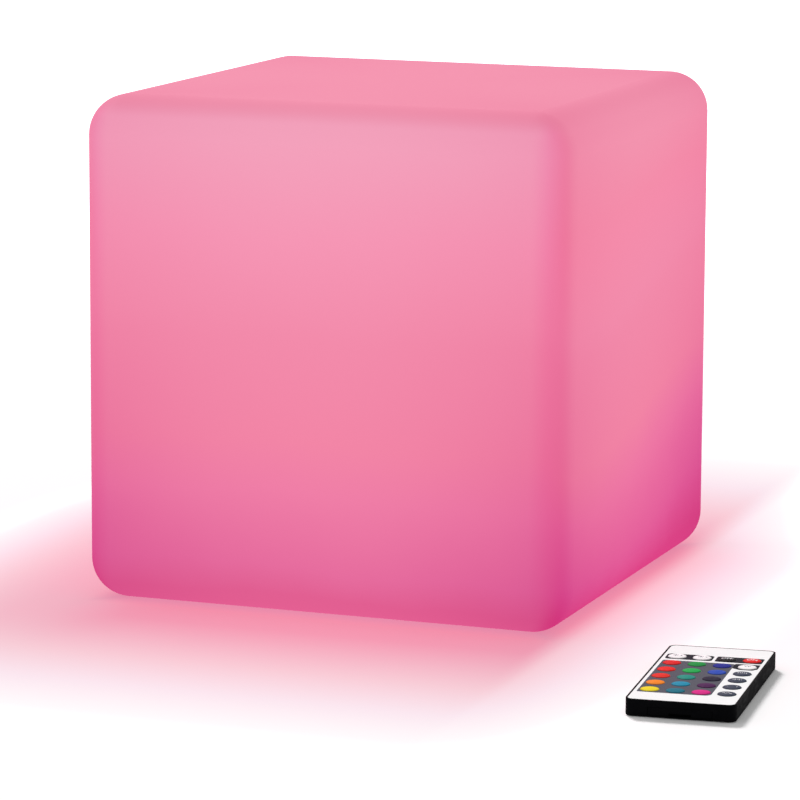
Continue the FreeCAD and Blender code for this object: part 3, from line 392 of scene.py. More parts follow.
def plastic(name, colour, rough, grain, patches, depth=0.01, dust=0.12, sheen=0.4):
    """Moulded plastic or rubber: grain, slow colour changes, handling marks and a trace of dust. The sizes of
    its grain and patches, and the grain's depth, are in millimetres."""
    material, tree, shader = new_material(name, Specular_IOR_Level=sheen)
    skin = use_effect(tree, "Moulded grain", Grain_size=grain * MM, Mottle_size=patches * 2 * MM)
    specks = use_effect(tree, "Dust", Amount=dust)["Mask"]
    base = blend(tree, skin["Mottle"], tint(colour, 0.93), tint(colour, 1.07))
    join(tree, blend(tree, specks, base, pigment("C9C6C3")), shader, "Base Color")
    handle(tree, shader, patches, rough + 0.06, rough - 0.08)
    bump(tree, shader, skin["Height"], depth * MM)
    return material


def metal(name, colour, rough=0.3, draw=0.06):
    """Turned or drawn metal with fine tool lines."""
    material, tree, shader = new_material(name, Metallic=1.0)
    lines = use_effect(tree, "Tool lines", Draw=draw)["Height"]
    join(tree, blend(tree, lines, tint(colour, 0.86), tint(colour, 1.08)), shader, "Base Color")
    handle(tree, shader, 3, rough + 0.1, rough - 0.06)
    bump(tree, shader, lines, 0.004 * MM)
    return material


def clear_plastic(name, colour, through, index, patches, rough, dull):
    """Clear plastic, dull where it has been handled, in patches of a size in millimetres."""
    material, tree, shader = new_material(name, Transmission_Weight=through, IOR=index, Base_Color=colour)
    handle(tree, shader, patches, rough, dull)
    return material


def ink(name, colour, cloud, sheen):
    """Screen-printed ink with faint clouds of a size in millimetres."""
    material, tree, shader = new_material(name, Specular_IOR_Level=sheen)
    cover = use_effect(tree, "Ink cover", Cloud_size=cloud * MM)["Cloud"]
    join(tree, blend(tree, cover, tint(colour, 0.87), tint(colour, 1.12)), shader, "Base Color")
    join(tree, spread(tree, cover, 0.3, 0.7, 0.6, 0.72), shader, "Roughness")
    return material


def dress(material, *nodes):
    """Gives CAD nodes their material."""
    for node in nodes:
        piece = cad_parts[node]
        if not piece.material_slots:
            piece.data.materials.append(material)
        for slot in piece.material_slots:
            slot.material = material


# ---- mesh building ----


def new_object(name, data):
    """A new object in the scene."""
    made = bpy.data.objects.new(name, data)
    bpy.context.scene.collection.objects.link(made)
    return made


def piece_from(name, mesh, material, body):
    """Makes a finished mesh a piece that rides on a body."""
    piece = new_object(name, mesh)
    mesh.materials.clear()
    mesh.materials.append(material)
    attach(piece, body)
    return piece


def arc(x, y, radius, start=0.0, stop=360.0, steps=48):
    """Points on an arc, angles in degrees. A whole turn has no doubled end."""
    whole = stop - start >= 360
    count = steps if whole else steps + 1
    turns = [math.radians(start + (stop - start) * step / steps) for step in range(count)]
    return [(x + radius * math.cos(turn), y + radius * math.sin(turn)) for turn in turns]


def in_mm(points):
    """Points given in millimetres, in metres."""
    return [(x * MM, y * MM) for x, y in points]


def rectangle(left, near, right, far):
    """The four corners of a rectangle."""
    return [(left, near), (right, near), (right, far), (left, far)]


def rounded(corners, radius, steps=8):
    """A closed outline with its corners rounded. Corners are (x, y), or (x, y, own radius)."""
    outline = []
    for number, corner in enumerate(corners):
        here = Vector(corner[:2])
        before = Vector(corners[number - 1][:2]) - here
        after = Vector(corners[(number + 1) % len(corners)][:2]) - here
        own = corner[2] if len(corner) > 2 else radius
        half = before.angle(after) / 2
        start = here + before.normalized() * own / math.tan(half)
        middle = here + (before.normalized() + after.normalized()).normalized() * own / math.sin(half)
        finish = here + after.normalized() * own / math.tan(half)
        first, last = (start - middle), (finish - middle)
        sweep = first.angle_signed(last)
        for step in range(steps + 1):
            turned = first.copy()
            turned.rotate(Matrix.Rotation(-sweep * step / steps, 2))
            outline.append(tuple(middle + turned))
    return outline


def stroke(points, width):
    """A closed outline of a bent bar that follows points."""
    left, right = [], []
    for number, point in enumerate(points):
        here = Vector(point)
        way = Vector(points[min(number + 1, len(points) - 1)]) - Vector(points[max(number - 1, 0)])
        side = Vector((-way.y, way.x)).normalized() * width / 2
        left.append(tuple(here + side))
        right.append(tuple(here - side))
    return left + right[::-1]


def facing_down(spot):
    """A place at a spot, turned to face the floor."""
    return Matrix.Translation(spot) @ Matrix.Rotation(math.pi, 4, "X")


def flat_mesh(name, outlines, thickness, place):
    """A thin plate from closed outlines, where an outline inside another is a hole. Its underside is at the
    place's own zero height."""
    curve = bpy.data.curves.new(name, "CURVE")
    curve.dimensions = "2D"
    curve.fill_mode = "BOTH"
    curve.extrude = thickness / 2
    for outline in outlines:
        spline = curve.splines.new("POLY")
        spline.points.add(len(outline) - 1)
        for point, (x, y) in zip(spline.points, outline):
            point.co = (x, y, 0, 1)
        spline.use_cyclic_u = True
    return curve_mesh(name, curve, thickness, place)


def curve_mesh(name, curve, thickness, place):
    """The clean, closed mesh of a filled flat curve."""
    holder = new_object(name + "_curve", curve)
    bpy.context.view_layer.update()
    mesh = bpy.data.meshes.new_from_object(holder.evaluated_get(bpy.context.evaluated_depsgraph_get()))
    bpy.data.objects.remove(holder)
    bpy.data.curves.remove(curve)
    close_up(mesh)
    mesh.name = name
    mesh.transform(place @ Matrix.Translation((0, 0, thickness / 2)))
    return mesh


def close_up(mesh):
    """Joins doubled points and turns every face outwards."""
    solid = bmesh.new()
    solid.from_mesh(mesh)
    bmesh.ops.remove_doubles(solid, verts=solid.verts, dist=0.0001 * MM)
    bmesh.ops.recalc_face_normals(solid, faces=solid.faces)
    solid.to_mesh(mesh)
    solid.free()


def lettering(name, words, height, thickness, place):
    """Plain capital letters, centred."""
    size_per_height, boldness = 1.42, 0.02
    curve = bpy.data.curves.new(name, "FONT")
    curve.body = words
    curve.size = height * size_per_height
    curve.align_x = "CENTER"
    curve.align_y = "CENTER"
    curve.extrude = thickness / 2
    curve.offset = height * boldness
    return curve_mesh(name, curve, thickness, place)


def merge(name, meshes):
    """Several meshes as one."""
    whole = bmesh.new()
    for mesh in meshes:
        whole.from_mesh(mesh)
        bpy.data.meshes.remove(mesh)
    result = bpy.data.meshes.new(name)
    whole.to_mesh(result)
    whole.free()
    return result


def coil_mesh(name, low, high, wire, turns, steps=28, sides=10):
    """An upright spring that fills a box. wire is its wire's radius."""
    middle, radius = (low + high) / 2, (high.x - low.x) / 2 - wire
    start, rise = low.z + wire, high.z - low.z - 2 * wire
    points = []
    for step in range(turns * steps + 1):
        along = step / (turns * steps)
        turn = 2 * math.pi * turns * along
        for out, up in arc(0, 0, wire, steps=sides):
            reach = radius + out
            height = start + rise * along + up
            points.append((middle.x + reach * math.cos(turn), middle.y + reach * math.sin(turn), height))
    faces = [tuple(range(sides)), tuple(range(len(points) - sides, len(points)))]
    for ring in range(0, turns * steps * sides, sides):
        for side in range(sides):
            after = (side + 1) % sides
            faces.append((ring + side, ring + after, ring + sides + after, ring + sides + side))
    mesh = bpy.data.meshes.new(name)
    mesh.from_pydata(points, [], faces)
    close_up(mesh)
    return mesh


def middle_of(node):
    """The middle of a CAD node's box."""
    low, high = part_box(node)
    return (low + high) / 2


def key_middle(key):
    """A key's middle, on the floor."""
    middle = middle_of("key_" + key)
    return Vector((middle.x, middle.y, 0))


def remote_place():
    """The remote's own frame: its middle on the floor, +Y towards the emitter end."""
    along = (key_middle("brighter") - key_middle("yellow")).normalized()
    across = Vector((along.y, -along.x, 0))
    middle = middle_of("remote_case")
    rows = (
        (across.x, along.x, 0, middle.x),
        (across.y, along.y, 0, middle.y),
        (0, 0, 1, 0),
        (0, 0, 0, 1),
    )
    return Matrix(rows)


# ---- operators ----


class LIGHT_OT_shell(bpy.types.Operator):
    """Gives the hollow shell its glow: pale under the top edge, where a highlight is painted, deeper at the
    upright edges and the foot, and darker on the two sides, where shade is painted
    """

    bl_idname = "cube_light.shell"
    bl_label = "Finish the shell"

    def execute(self, context):
        glow = context.scene.cube_glow
        material, tree, shader = new_material(
            "glowing_shell", Roughness=0.72, Specular_IOR_Level=0.06, Emission_Strength=glow.emission
        )
        place = object_place(tree)
        axes = add(tree, "ShaderNodeSeparateXYZ", {0: place}).outputs
        height = compute(tree, "DIVIDE", axes["Z"], CUBE_SIDE)
        thickness = compute(tree, "SUBTRACT", surface_noise(tree, place, 14.0, 3.0), 0.5)
        level = compute(tree, "ADD", height, compute(tree, "MULTIPLY", thickness, glow.mottle))
        across = [compute(tree, "ABSOLUTE", axes[axis]) for axis in "XY"]
        sideways = spread(tree, compute(tree, "SUBTRACT", *across), -8 * MM, 8 * MM)
        # Painted shade: the two sides take a darker copy of the front's glow.
        side = self.side(tree, glow, axes["Y"], height, level)
        walls = blend(tree, sideways, self.face(tree, glow, level), side)
        # 0 at the middle of a wall, and nearly 1 at an upright edge
        nearness = compute(tree, "DIVIDE", compute(tree, "MINIMUM", *across), HALF)
        corner = compute(tree, "POWER", compute(tree, "MULTIPLY", nearness, 1.12, clamp=True), 2.0)
        rim = spread(tree, nearness, 0.86, 0.945)
        keeps = ramp(tree, level, [(0.2, glow.corner_low), (0.6, glow.corner_high)])
        walls = blend(tree, corner, walls, keeps, "MULTIPLY")
        walls = blend(tree, rim, walls, glow.rim, "MULTIPLY")
        top = blend(tree, corner, glow.top, keeps, "MULTIPLY")
        colour = blend(tree, spread(tree, facing_up(tree), 0.5, 1.0), walls, top)
        join(tree, colour, shader, "Emission Color")
        join(tree, blend(tree, 1.0, colour, (glow.body,) * 3, "MULTIPLY"), shader, "Base Color")
        skin = use_effect(tree, "Moulded grain", Grain_size=1.2 * MM, Mottle_size=50 * MM)
        bump(tree, shader, skin["Height"], 0.02 * MM)
        dress(material, "shell")
        return {"FINISHED"}

    def face(self, tree, glow, level):
        """Glow of the front and back, from the floor to the top edge. Its brow band, just under the top edge,
        is a painted highlight.
        """
        bands = [(0.0, "sole"), (0.04, "sole"), (0.1, "foot"), (0.25, "low"), (0.35, "lower")]
        bands += [(0.55, "middle"), (0.75, "upper"), (0.92, "brow"), (0.97, "brow")]
        return ramp(tree, level, [(place, getattr(glow, "face_" + band)) for place, band in bands])

    def side(self, tree, glow, depth, height, level):
        """Glow of the left and right sides: the bands of the front, darkened by painted shade, and higher at
        the back. They level out near the floor and near the top."""
        lean = spread(tree, depth, -0.6 * HALF, HALF, -0.26 * glow.lean, 0.74 * glow.lean)
        above_floor = spread(tree, height, 0.0, 0.3, 0.2, 1.0)
        below_top = spread(tree, height, 0.7, 0.92, 1.0, 0.2)
        lean = compute(tree, "MULTIPLY", compute(tree, "MULTIPLY", lean, above_floor), below_top)
        lower = compute(tree, "SUBTRACT", level, lean)
        stops = [(0.03, glow.side_sole), (0.12, glow.side_foot), (0.35, glow.side_middle)]
        stops += [(0.6, glow.side_middle), (0.8, glow.side_brow)]
        return blend(tree, 1.0, self.face(tree, glow, lower), ramp(tree, lower, stops), "MULTIPLY")


class LIGHT_OT_base(bpy.types.Operator):
    """Finishes what closes the cube's underside: cover, gasket, screws, jack, flap, switch and light pipe"""

    bl_idname = "cube_light.base"
    bl_label = "Finish the base"

    def execute(self, context):
        pale = plastic("cover_white", pigment("E9E4E6"), 0.5, grain=0.9, patches=20, depth=0.03)
        rubber = plastic("black_rubber", pigment("1B1B1C"), 0.75, grain=0.5, patches=6)
        black = plastic("black_fitting", pigment("141416"), 0.42, grain=0.4, patches=4, depth=0.006)
        cap = plastic("button_black", pigment("1D1D1F"), 0.3, grain=0.4, patches=3, depth=0.004)
        steel = metal("plated_steel", pigment("C6C6C8"))
        dress(pale, "base_cover")
        dress(rubber, "base_gasket", "panel_seals", "port_cover")
        dress(black, "charge_jack", "power_switch", "panel_nuts")
        dress(cap, "power_button")
        dress(steel, "base_screws", "housing_screws", "lens_screws", "small_screws", "port_cover_pin")
        dress(metal("turned_brass", pigment("C89B4A")), "shell_inserts")
        pipe = clear_plastic(
            "clear_light_pipe", pigment("F2F5F2"), through=0.85, index=1.49, patches=2, rough=0.12, dull=0.3
        )
        dress(pipe, "charge_indicator")
        self.spring(metal("spring_wire", pigment("B9BBBE"), 0.25))
        return {"FINISHED"}

    def spring(self, steel):
        """Return spring behind the button."""
        dress(steel, "button_spring")
        low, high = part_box("button_spring")
        coil = coil_mesh("return_spring", low, high, wire=0.3 * MM, turns=4)
        spring = piece_from("return_spring", coil, steel, "light")
        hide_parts("button_spring")
        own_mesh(spring)


class LIGHT_OT_marks(bpy.types.Operator):
    """Raises the signs beside the controls and the ridges on the flap's tab"""

    bl_idname = "cube_light.marks"
    bl_label = "Raise the signs"

    def execute(self, context):
        deep = 0.25 * MM
        grey = plastic("sign_grey", pigment("8B8789"), 0.5, grain=0.5, patches=5)
        start, stop = 125, 415  # degrees, so the ring is open round the bar
        ring = arc(0, 0, 2.4 * MM, start, stop) + arc(0, 0, 1.8 * MM, start, stop)[::-1]
        bar = rounded(rectangle(-0.3 * MM, 0.7 * MM, 0.3 * MM, 3 * MM), 0.1 * MM)
        place = self.beside("power_switch")
        sign = merge("power_sign", [flat_mesh("part", [outline], deep, place) for outline in (ring, bar)])
        piece_from("power_sign", sign, grey, "light")
        bolt = in_mm([(0.9, 3.0), (-1.5, -0.35), (-0.2, -0.35), (-0.9, -3.0), (1.5, 0.45), (0.2, 0.45)])
        sign = flat_mesh("charge_sign", [bolt], deep, self.beside("charge_jack"))
        piece_from("charge_sign", sign, grey, "light")
        self.ridges(bpy.data.materials["black_rubber"])
        return {"FINISHED"}

    def beside(self, node):
        """A sign's place on the cover, a finger's width behind a control. The light pipe stands 0.5 mm proud
        of the cover there."""
        spot = middle_of(node)
        spot.y += 12 * MM
        spot.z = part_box("charge_indicator")[0].z + 0.5 * MM
        return facing_down(spot)

    def ridges(self, rubber):
        """Three ridges on the flap's tab, longer towards the hinge."""
        low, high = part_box("port_cover")
        place = facing_down((0, (low.y + high.y) / 2, low.z))
        half_width = 0.3 * MM
        ridges = []
        for number in range(3):
            x = high.x - (1.4 + 1.3 * number) * MM
            reach = (2.6 + 0.5 * number) * MM
            outline = rounded(rectangle(x - half_width, -reach, x + half_width, reach), 0.25 * MM)
            ridges.append(flat_mesh("ridge", [outline], 0.3 * MM, place))
        piece_from("flap_ridges", merge("flap_ridges", ridges), rubber, "port_cover")


class LIGHT_OT_inside(bpy.types.Operator):
    """Finishes the light unit inside: housing, boards, chips, lens, cell and leads"""

    bl_idname = "cube_light.inside"
    bl_label = "Finish the light unit"

    def execute(self, context):
        pale = plastic("housing_white", pigment("EDEBEC"), 0.5, grain=0.8, patches=20, depth=0.02)
        resin = plastic("black_resin", pigment("121214"), 0.25, grain=0.3, patches=2, depth=0.003)
        wrap = plastic("cell_wrap", pigment("2C62A8"), 0.3, grain=0.6, patches=10, depth=0.004)
        dress(pale, "light_housing", "battery_clamp")
        dress(resin, "board_parts", "ir_receiver", "remote_board_parts")
        dress(wrap, "battery_cell")
        dress(self.board("white_board", "E8E7E2", "D2CFC6"), "led_board")
        dress(self.board("green_board", "0E4A2A", "1E6B3E"), "control_board", "remote_board")
        dress(self.lit_chips(), "led_chips")
        dress(self.frosted_lens(), "light_lens")
        for colour, code in (("red", "B41C18"), ("black", "161617")):
            lead = plastic(colour + "_lead", pigment(code), 0.4, grain=0.3, patches=4, depth=0.003)
            dress(lead, "leads_" + colour)
        return {"FINISHED"}

    def board(self, name, mask, track):
        """Circuit board: solder mask with paler tracks under it."""
        material, tree, shader = new_material(name, Roughness=0.35)
        sockets = {"Vector": object_place(tree), "Scale": 420.0, "Randomness": 0.35}
        cells = add(tree, "ShaderNodeTexVoronoi", sockets, feature="DISTANCE_TO_EDGE").outputs[0]
        tracks = spread(tree, cells, 0.06, 0.09, 1.0, 0.0)
        join(tree, blend(tree, tracks, pigment(mask), pigment(track)), shader, "Base Color")
        bump(tree, shader, tracks, 0.03 * MM)
        return material

    def lit_chips(self):
        """Colour chips, lit pink."""
        material, tree, shader = new_material("lit_chips", Roughness=0.3, Emission_Strength=1.5)
        cells = surface_noise(tree, object_place(tree), 900.0, 2.0)
        join(tree, blend(tree, cells, pigment("FF9AB8"), pigment("FFC2D2")), shader, "Emission Color")
        join(tree, blend(tree, cells, pigment("F3E6B0"), pigment("F7EFC8")), shader, "Base Color")
        return material

    def frosted_lens(self):
        """Frosted dome over the chips."""
        material, tree, shader = new_material(
            "frosted_lens", Transmission_Weight=0.7, IOR=1.49, Base_Color=pigment("F6EFF1")
        )
        skin = use_effect(tree, "Moulded grain", Grain_size=0.5 * MM, Mottle_size=20 * MM)
        join(tree, spread(tree, skin["Mottle"], 0.3, 0.7, 0.42, 0.56), shader, "Roughness")
        bump(tree, shader, skin["Height"], 0.03 * MM)
        return material


class REMOTE_OT_case(bpy.types.Operator):
    """Finishes the remote's black case, its battery tray, its white face and the small parts inside"""

    bl_idname = "cube_light.remote_case"
    bl_label = "Finish the remote's case"

    def execute(self, context):
        remote = context.scene.cube_remote
        case = plastic(
            "remote_black", tuple(remote.case), 0.7,
            grain=0.5, patches=6, depth=0.012, dust=0.01, sheen=0.03,
        )
        face = plastic(
            "face_white", tuple(remote.face), 0.6,
            grain=0.4, patches=10, depth=0.004, dust=0.0, sheen=0.1,
        )
        dress(case, "remote_case", "remote_tray")
        dress(face, "remote_face")
        dress(metal("cell_steel", pigment("C9CACC"), 0.22, draw=1.0), "coin_cell")
        dress(metal("dome_sheet", pigment("B9BCC2"), 0.25, draw=1.0), "remote_domes")
        emitter = clear_plastic(
            "clear_emitter", pigment("D8DCE8"), through=0.8, index=1.5, patches=1, rough=0.08, dull=0.2
        )
        dress(emitter, "remote_emitter")
        return {"FINISHED"}


class REMOTE_OT_print(bpy.types.Operator):
    """Prints the grey and dark panels on the remote's face"""

    bl_idname = "cube_light.remote_print"
    bl_label = "Print the face"

    def execute(self, context):
        remote = context.scene.cube_remote
        place = remote_place()
        top = Matrix.Translation((0, 0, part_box("remote_face")[1].z)) @ place
        spots = {key: place.inverted() @ key_middle(key) for key in KEY_COLOURS}
        key_low, key_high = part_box("key_yellow")
        hole = (key_high.x - key_low.x) / 2 - 0.6 * MM
        grey = ink("print_grey", tuple(remote.panel), cloud=6, sheen=0.03)
        dark = ink("print_dark", tuple(remote.dark_panel), cloud=6, sheen=0.03)
        colour_keys = [key for row in KEY_ROWS[:5] for key in list(row)[:3]]
        panels = self.panels(spots, remote.margin)
        for name, keys, cover in (
            ("colour_panel", colour_keys, grey),
            ("white_key_panel", ["white"], dark),
            ("switch_panel", ["off", "on"], dark),
            ("brightness_panel", ["brighter", "dimmer"], dark),
        ):
            holes = [arc(spots[key].x, spots[key].y, hole) for key in keys]
            mesh = flat_mesh(name, [panels[name]] + holes, remote.ink, top)
            piece_from(name, mesh, cover, "remote")
        return {"FINISHED"}

    def panels(self, spots, margin):
        """Outlines of the printed panels, a margin beyond the middles of their keys."""
        left, near = spots["yellow"].x - margin, spots["yellow"].y - margin
        middle, far = spots["magenta"].x + margin, spots["red"].y + margin
        right, row = spots["white"].x + margin, spots["off"].y
        white = spots["white"]
        seam, top = middle + 0.02 * MM, far + 0.6 * MM
        small, large = 0.4 * MM, 1.4 * MM
        around_white = [
            (seam, white.y - 0.55 * margin, small),
            (white.x - 0.55 * margin, white.y - margin, 1.2 * MM),
            (white.x + 0.6 * margin, white.y - margin, large),
            (right, white.y - 0.5 * margin, large),
            (right, top, small),
            (seam, top, small),
        ]
        around_colours = [(left, near), (middle, near, 2.6 * MM), (middle, far), (left, far)]
        around_switches = rectangle(spots["off"].x - margin, row - margin, right, row + margin)
        around_bright = rectangle(
            spots["brighter"].x - margin, row - margin, spots["dimmer"].x + margin, row + margin
        )
        return {
            "colour_panel": rounded(around_colours, 0.9 * MM),
            "white_key_panel": rounded(around_white, small),
            "switch_panel": rounded(around_switches, 0.9 * MM),
            "brightness_panel": rounded(around_bright, 1.6 * MM),
        }


class REMOTE_OT_keys(bpy.types.Operator):
    """Gives every key its own coloured plastic"""

    bl_idname = "cube_light.remote_keys"
    bl_label = "Finish the keys"

    def execute(self, context):
        for key in KEY_COLOURS:
            dress(self.key_plastic(key, tuple(getattr(context.scene.cube_keys, key))), "key_" + key)
        return {"FINISHED"}

    def key_plastic(self, key, colour):
        """Satin key, paler on its crown than round its shoulder, where shade is painted."""
        material, tree, shader = new_material("key_" + key, Specular_IOR_Level=0.05)
        sockets = {0: object_place(tree), 1: (1, 1, 0)}
        flat = add(tree, "ShaderNodeVectorMath", sockets, operation="MULTIPLY").outputs[0]
        sockets = {0: flat, 1: key_middle(key)}
        away = add(tree, "ShaderNodeVectorMath", sockets, operation="DISTANCE").outputs["Value"]
        # Painted shade: the key's colour darkens round its shoulder, where a domed key falls into shade.
        shoulder = spread(tree, away, 2.4 * MM, 3.3 * MM)
        base = blend(tree, shoulder, tint(colour, 1.05), tint(colour, 0.72))
        skin = use_effect(tree, "Moulded grain", Grain_size=0.3 * MM, Mottle_size=4 * MM)
        join(tree, blend(tree, skin["Mottle"], base, tint(colour, 1.12)), shader, "Base Color")
        handle(tree, shader, 3, 0.66, 0.54)
        bump(tree, shader, skin["Height"], 0.004 * MM)
        return material


class REMOTE_OT_signs(bpy.types.Operator):
    """Prints the signs on the remote's keys"""

    bl_idname = "cube_light.remote_signs"
    bl_label = "Print the keys' signs"

    words = {"off": "OFF", "on": "ON", "white": "W"}
    drawings = {
        "brighter": "sun_up",
        "dimmer": "sun_down",
        "flash": "bars",
        "strobe": "sparks",
        "fade": "wedge",
        "smooth": "wave",
    }

    def execute(self, context):
        remote = context.scene.cube_remote
        light = ink("sign_light", tuple(remote.mark_light), cloud=0.7, sheen=0.05)
        dark = ink("sign_dark", tuple(remote.mark_dark), cloud=0.7, sheen=0.05)
        turn = remote_place().to_3x3().to_4x4()
        for key in KEY_COLOURS:
            place = Matrix.Translation(key_middle(key)) @ turn
            name = key + "_sign"
            if key in self.words:
                mesh = lettering(name, self.words[key], 1.8 * MM, remote.ink, place)
            elif key in self.drawings:
                outlines = getattr(self, self.drawings[key])()
                parts = [flat_mesh("part", [in_mm(outline)], remote.ink, place) for outline in outlines]
                mesh = merge(name, parts)
            else:
                continue
            self.lay_on_crown(mesh, key)
            colour = dark if key in ("white", "brighter", "dimmer") else light
            piece_from(name, mesh, colour, "key_" + key)
        return {"FINISHED"}

    def lay_on_crown(self, mesh, key):
        """Bends a flat sign over the key's crown, sunk by a hair so that no gap shows."""
        middle = key_middle(key)
        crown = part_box("key_" + key)[1].z
        edge, rise, sunk = 3.25 * MM, 0.3 * MM, 0.01 * MM
        radius = (edge**2 + rise**2) / (2 * rise)
        for vertex in mesh.vertices:
            away = math.hypot(vertex.co.x - middle.x, vertex.co.y - middle.y)
            drop = radius - math.sqrt(radius**2 - away**2)
            vertex.co.z += crown - drop - sunk

    # The drawings are outlines in millimetres round the key's middle.

    def sun(self, arrow):
        """A sun with eight rays, and beside it an arrowhead that points up for 1 and down for -1."""
        centre, disc, ray_start, ray_stop = -0.5, 0.55, 0.8, 1.2
        shapes = [arc(centre, 0, disc, steps=24)]
        for number in range(8):
            turn = math.radians(45 * number)
            ray = [(centre + out * math.cos(turn), out * math.sin(turn)) for out in (ray_start, ray_stop)]
            shapes.append(stroke(ray, 0.16))
        head = [(1.15, -0.5 * arrow), (2.05, -0.5 * arrow), (1.6, 0.6 * arrow)]
        return shapes + [head[::arrow]]

    def sun_up(self):
        return self.sun(1)

    def sun_down(self):
        return self.sun(-1)

    def bars(self):
        """Even short bars for steps from colour to colour."""
        return [stroke([(x, -0.55), (x, 0.55)], 0.3) for x in (-1.5, -0.75, 0, 0.75, 1.5)]

    def sparks(self):
        """Bars of two heights for quick flashes."""
        heights = {-1.5: 0.3, -0.75: 0.8, 0: 0.3, 0.75: 0.8, 1.5: 0.3}
        return [stroke([(x, -height), (x, height)], 0.26) for x, height in heights.items()]

    def wedge(self):
        """A widening wedge for a slow change."""
        return [[(-1.8, -0.12), (1.8, -0.7), (1.8, 0.7), (-1.8, 0.12)]]

    def wave(self):
        """Two periods of a wave for a smooth change."""
        points = [(x / 10, 0.5 * math.sin(math.pi * x / 9)) for x in range(-18, 19)]
        return [stroke(points, 0.26)]


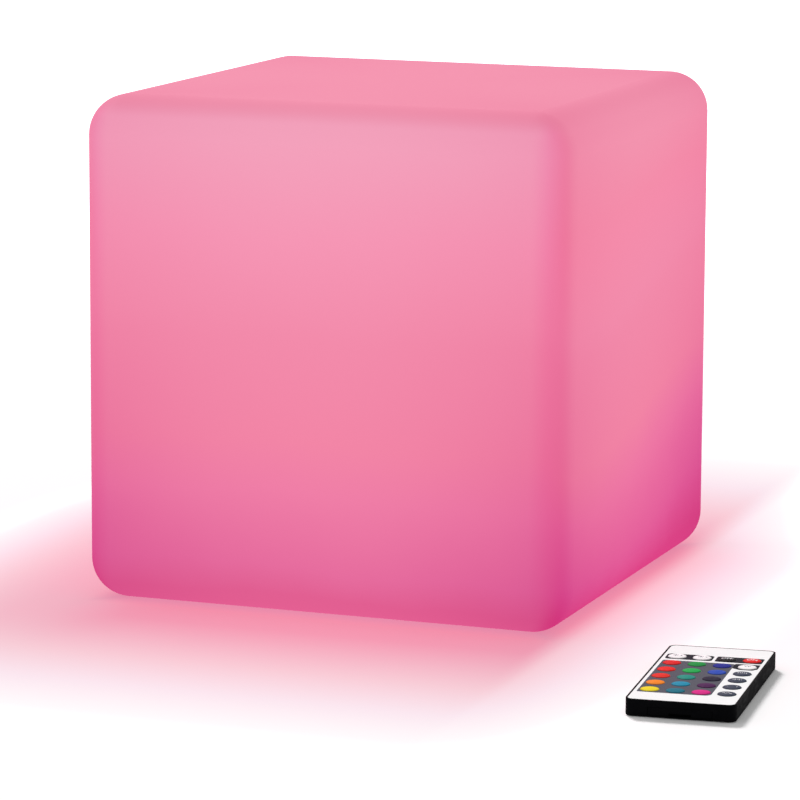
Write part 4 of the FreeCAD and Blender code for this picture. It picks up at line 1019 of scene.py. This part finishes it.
class STAGE_OT_set(bpy.types.Operator):
    """Sets the camera, the white floor with its painted pool of pink light, the lamp and the even studio
    light
    """

    bl_idname = "cube_light.stage"
    bl_label = "Set the stage"

    def execute(self, context):
        scene, stage = context.scene, context.scene.cube_stage
        self.camera(scene, stage)
        self.floor(stage)
        self.lamp(stage)
        self.world(scene, stage)
        scene.view_settings.view_transform = "Standard"
        return {"FINISHED"}

    def camera(self, scene, stage):
        data = bpy.data.cameras.new("camera")
        data.sensor_width = 36.0
        data.lens = stage.camera_lens
        data.clip_end = 100.0
        camera = new_object("camera", data)
        turn = (
            Matrix.Rotation(stage.camera_yaw, 4, "Z")
            @ Matrix.Rotation(math.pi / 2 - stage.camera_pitch, 4, "X")
            @ Matrix.Rotation(stage.camera_roll, 4, "Z")
        )
        camera.matrix_world = Matrix.Translation(stage.camera_place) @ turn
        scene.camera = camera

    def floor(self, stage):
        """A wide white floor just under the cube, with a painted pool of the cube's pink light."""
        mesh = bpy.data.meshes.new("floor")
        reach, sunk = 12.0, 0.2 * MM
        corners = rectangle(-reach, -reach, reach, reach)
        mesh.from_pydata([(x, y, -sunk) for x, y in corners], [], [(0, 1, 2, 3)])
        floor = new_object("floor", mesh)
        material, tree, shader = new_material("floor", Roughness=0.9, Specular_IOR_Level=0.0)
        mesh.materials.append(material)
        place = add(tree, "ShaderNodeNewGeometry").outputs["Position"]
        axes = add(tree, "ShaderNodeSeparateXYZ", {0: place}).outputs
        far = add(tree, "ShaderNodeVectorMath", {0: place}, operation="LENGTH").outputs["Value"]
        away = self.pool(tree, stage, axes)
        # Painted light: the floor's own colour is tinted pink near the cube, fading to white at the pool's
        # end.
        stops = [(0.0, stage.pool_heart), (0.11, stage.pool_inner), (0.44, stage.pool_middle)]
        stops += [(0.67, stage.pool_outer), (0.89, stage.pool_edge), (1.0, (1, 1, 1))]
        outward = compute(tree, "MAXIMUM", *(compute(tree, "ABSOLUTE", axes[axis]) for axis in "XY"))
        # Painted light: under the cube's rounded foot the floor takes a paler pink tone, against the shade
        # there.
        under = spread(tree, outward, HALF - 14 * MM, HALF, 1.0, 0.0)
        join(tree, blend(tree, under, ramp(tree, away, stops), stage.pool_under), shader, "Base Color")
        # Painted light: near the cube this brightening fills the floor's shade; further off it lifts the bare
        # floor to an even white.
        lift = blend(tree, spread(tree, away, 0.0, 1.0), stage.painted_pool_light, stage.painted_near_light)
        lift = blend(tree, spread(tree, away, 1.0, 1.35), lift, stage.bare_lift)
        lift = blend(tree, spread(tree, far, 0.3, 1.2), lift, (1, 1, 1))
        shine = add(tree, "ShaderNodeEmission", {"Color": lift, "Strength": seen_rays(tree)})
        both = add(tree, "ShaderNodeAddShader", {0: shader.outputs[0], 1: shine.outputs[0]})
        tree.links.new(both.outputs[0], tree.nodes["Material Output"].inputs["Surface"])

    def pool(self, tree, stage, axes):
        """How far out in the painted pool of pink light a place is: 0 beside the cube's front, 1 where the
        pink ends. The pool is brightest in front, so it starts further out beside the other sides, and it is
        nearly square in front and pointed behind."""

        def beyond(axis, sign, reach):
            outward = compute(tree, "MULTIPLY", axes[axis], sign)
            past = compute(tree, "MAXIMUM", compute(tree, "SUBTRACT", outward, HALF), 0.0)
            return compute(tree, "DIVIDE", past, reach)

        def total(*values):
            whole = values[0]
            for value in values[1:]:
                whole = compute(tree, "ADD", whole, value)
            return whole

        start_left, start_right, start_behind = 0.26, 0.39, 0.216
        square, pointed = 3.2, 1.2
        left = spread(tree, axes["X"], -HALF - 10 * MM, -HALF + 50 * MM, start_left, 0.0)
        right = spread(tree, axes["X"], HALF - 12 * MM, HALF + 6 * MM, 0.0, start_right)
        behind = spread(tree, axes["Y"], HALF - 70 * MM, HALF + 40 * MM, 0.0, start_behind)
        leftways = compute(tree, "POWER", beyond("X", -1.0, stage.pool_left), 2.0)
        sideways = total(leftways, beyond("X", 1.0, stage.pool_right), left, right)
        lengthways = total(beyond("Y", -1.0, stage.pool_front), beyond("Y", 1.0, stage.pool_back), behind)
        fullness = spread(tree, axes["Y"], -HALF, HALF, square, pointed)
        both_ways = total(*(compute(tree, "POWER", way, fullness) for way in (sideways, lengthways)))
        return compute(tree, "POWER", both_ways, compute(tree, "DIVIDE", 1.0, fullness))

    def lamp(self, stage):
        """The key lamp, from behind on the left. The glowing cube fills its own shadow, so its solids don't
        block this lamp."""
        data = bpy.data.lights.new("key_lamp", "SUN")
        data.energy = stage.sun
        data.angle = stage.sun_spread
        lamp = new_object("key_lamp", data)
        toward = Vector((0.69, -0.84, -1.0))
        lamp.matrix_world = toward.to_track_quat("-Z", "Y").to_matrix().to_4x4()
        glowing = bpy.data.collections.new("glowing")
        for name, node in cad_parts.items():
            if not name.startswith(("remote_", "key_")):
                glowing.objects.link(node)
        for member in glowing.collection_objects:
            member.light_linking.link_state = "EXCLUDE"
        lamp.light_linking.blocker_collection = glowing

    def world(self, scene, stage):
        """Even light, and plain white behind for the camera, metal and glass."""
        world = bpy.data.worlds.new("studio")
        scene.world = world
        world.use_nodes = True
        tree = world.node_tree
        lit = tree.nodes["Background"]
        lit.inputs["Color"].default_value = (1, 1, 1, 1)
        lit.inputs["Strength"].default_value = stage.sky
        seen = add(tree, "ShaderNodeBackground", {"Color": (1, 1, 1, 1), "Strength": 1.0})
        both = add(tree, "ShaderNodeMixShader", {0: seen_rays(tree), 1: lit.outputs[0], 2: seen.outputs[0]})
        tree.links.new(both.outputs[0], tree.nodes["World Output"].inputs["Surface"])


class LIGHT_PT_panel(bpy.types.Panel):
    """Lists the steps in the sidebar"""

    bl_idname = "LIGHT_PT_panel"
    bl_label = "Cube Light"
    bl_space_type = "VIEW_3D"
    bl_region_type = "UI"
    bl_category = "Cube Light"

    def draw(self, context):
        for operator in OPERATORS:
            self.layout.operator(operator.bl_idname)


OPERATORS = (
    STAGE_OT_set,
    LIGHT_OT_shell,
    LIGHT_OT_base,
    LIGHT_OT_marks,
    LIGHT_OT_inside,
    REMOTE_OT_case,
    REMOTE_OT_print,
    REMOTE_OT_keys,
    REMOTE_OT_signs,
)
SETTINGS = {
    "cube_glow": CubeGlowSettings,
    "cube_remote": CubeRemoteSettings,
    "cube_keys": CubeKeySettings,
    "cube_stage": CubeStageSettings,
}
CLASSES = (*SETTINGS.values(), *OPERATORS, LIGHT_PT_panel)


def register():
    for kind in CLASSES:
        bpy.utils.register_class(kind)
    for name, kind in SETTINGS.items():
        setattr(bpy.types.Scene, name, PointerProperty(type=kind))


def unregister():
    for name in SETTINGS:
        delattr(bpy.types.Scene, name)
    for kind in reversed(CLASSES):
        bpy.utils.unregister_class(kind)


def main():
    register()
    for operator in OPERATORS:
        group, name = operator.bl_idname.split(".")
        getattr(getattr(bpy.ops, group), name)()


if __name__ == "__main__":
    main()
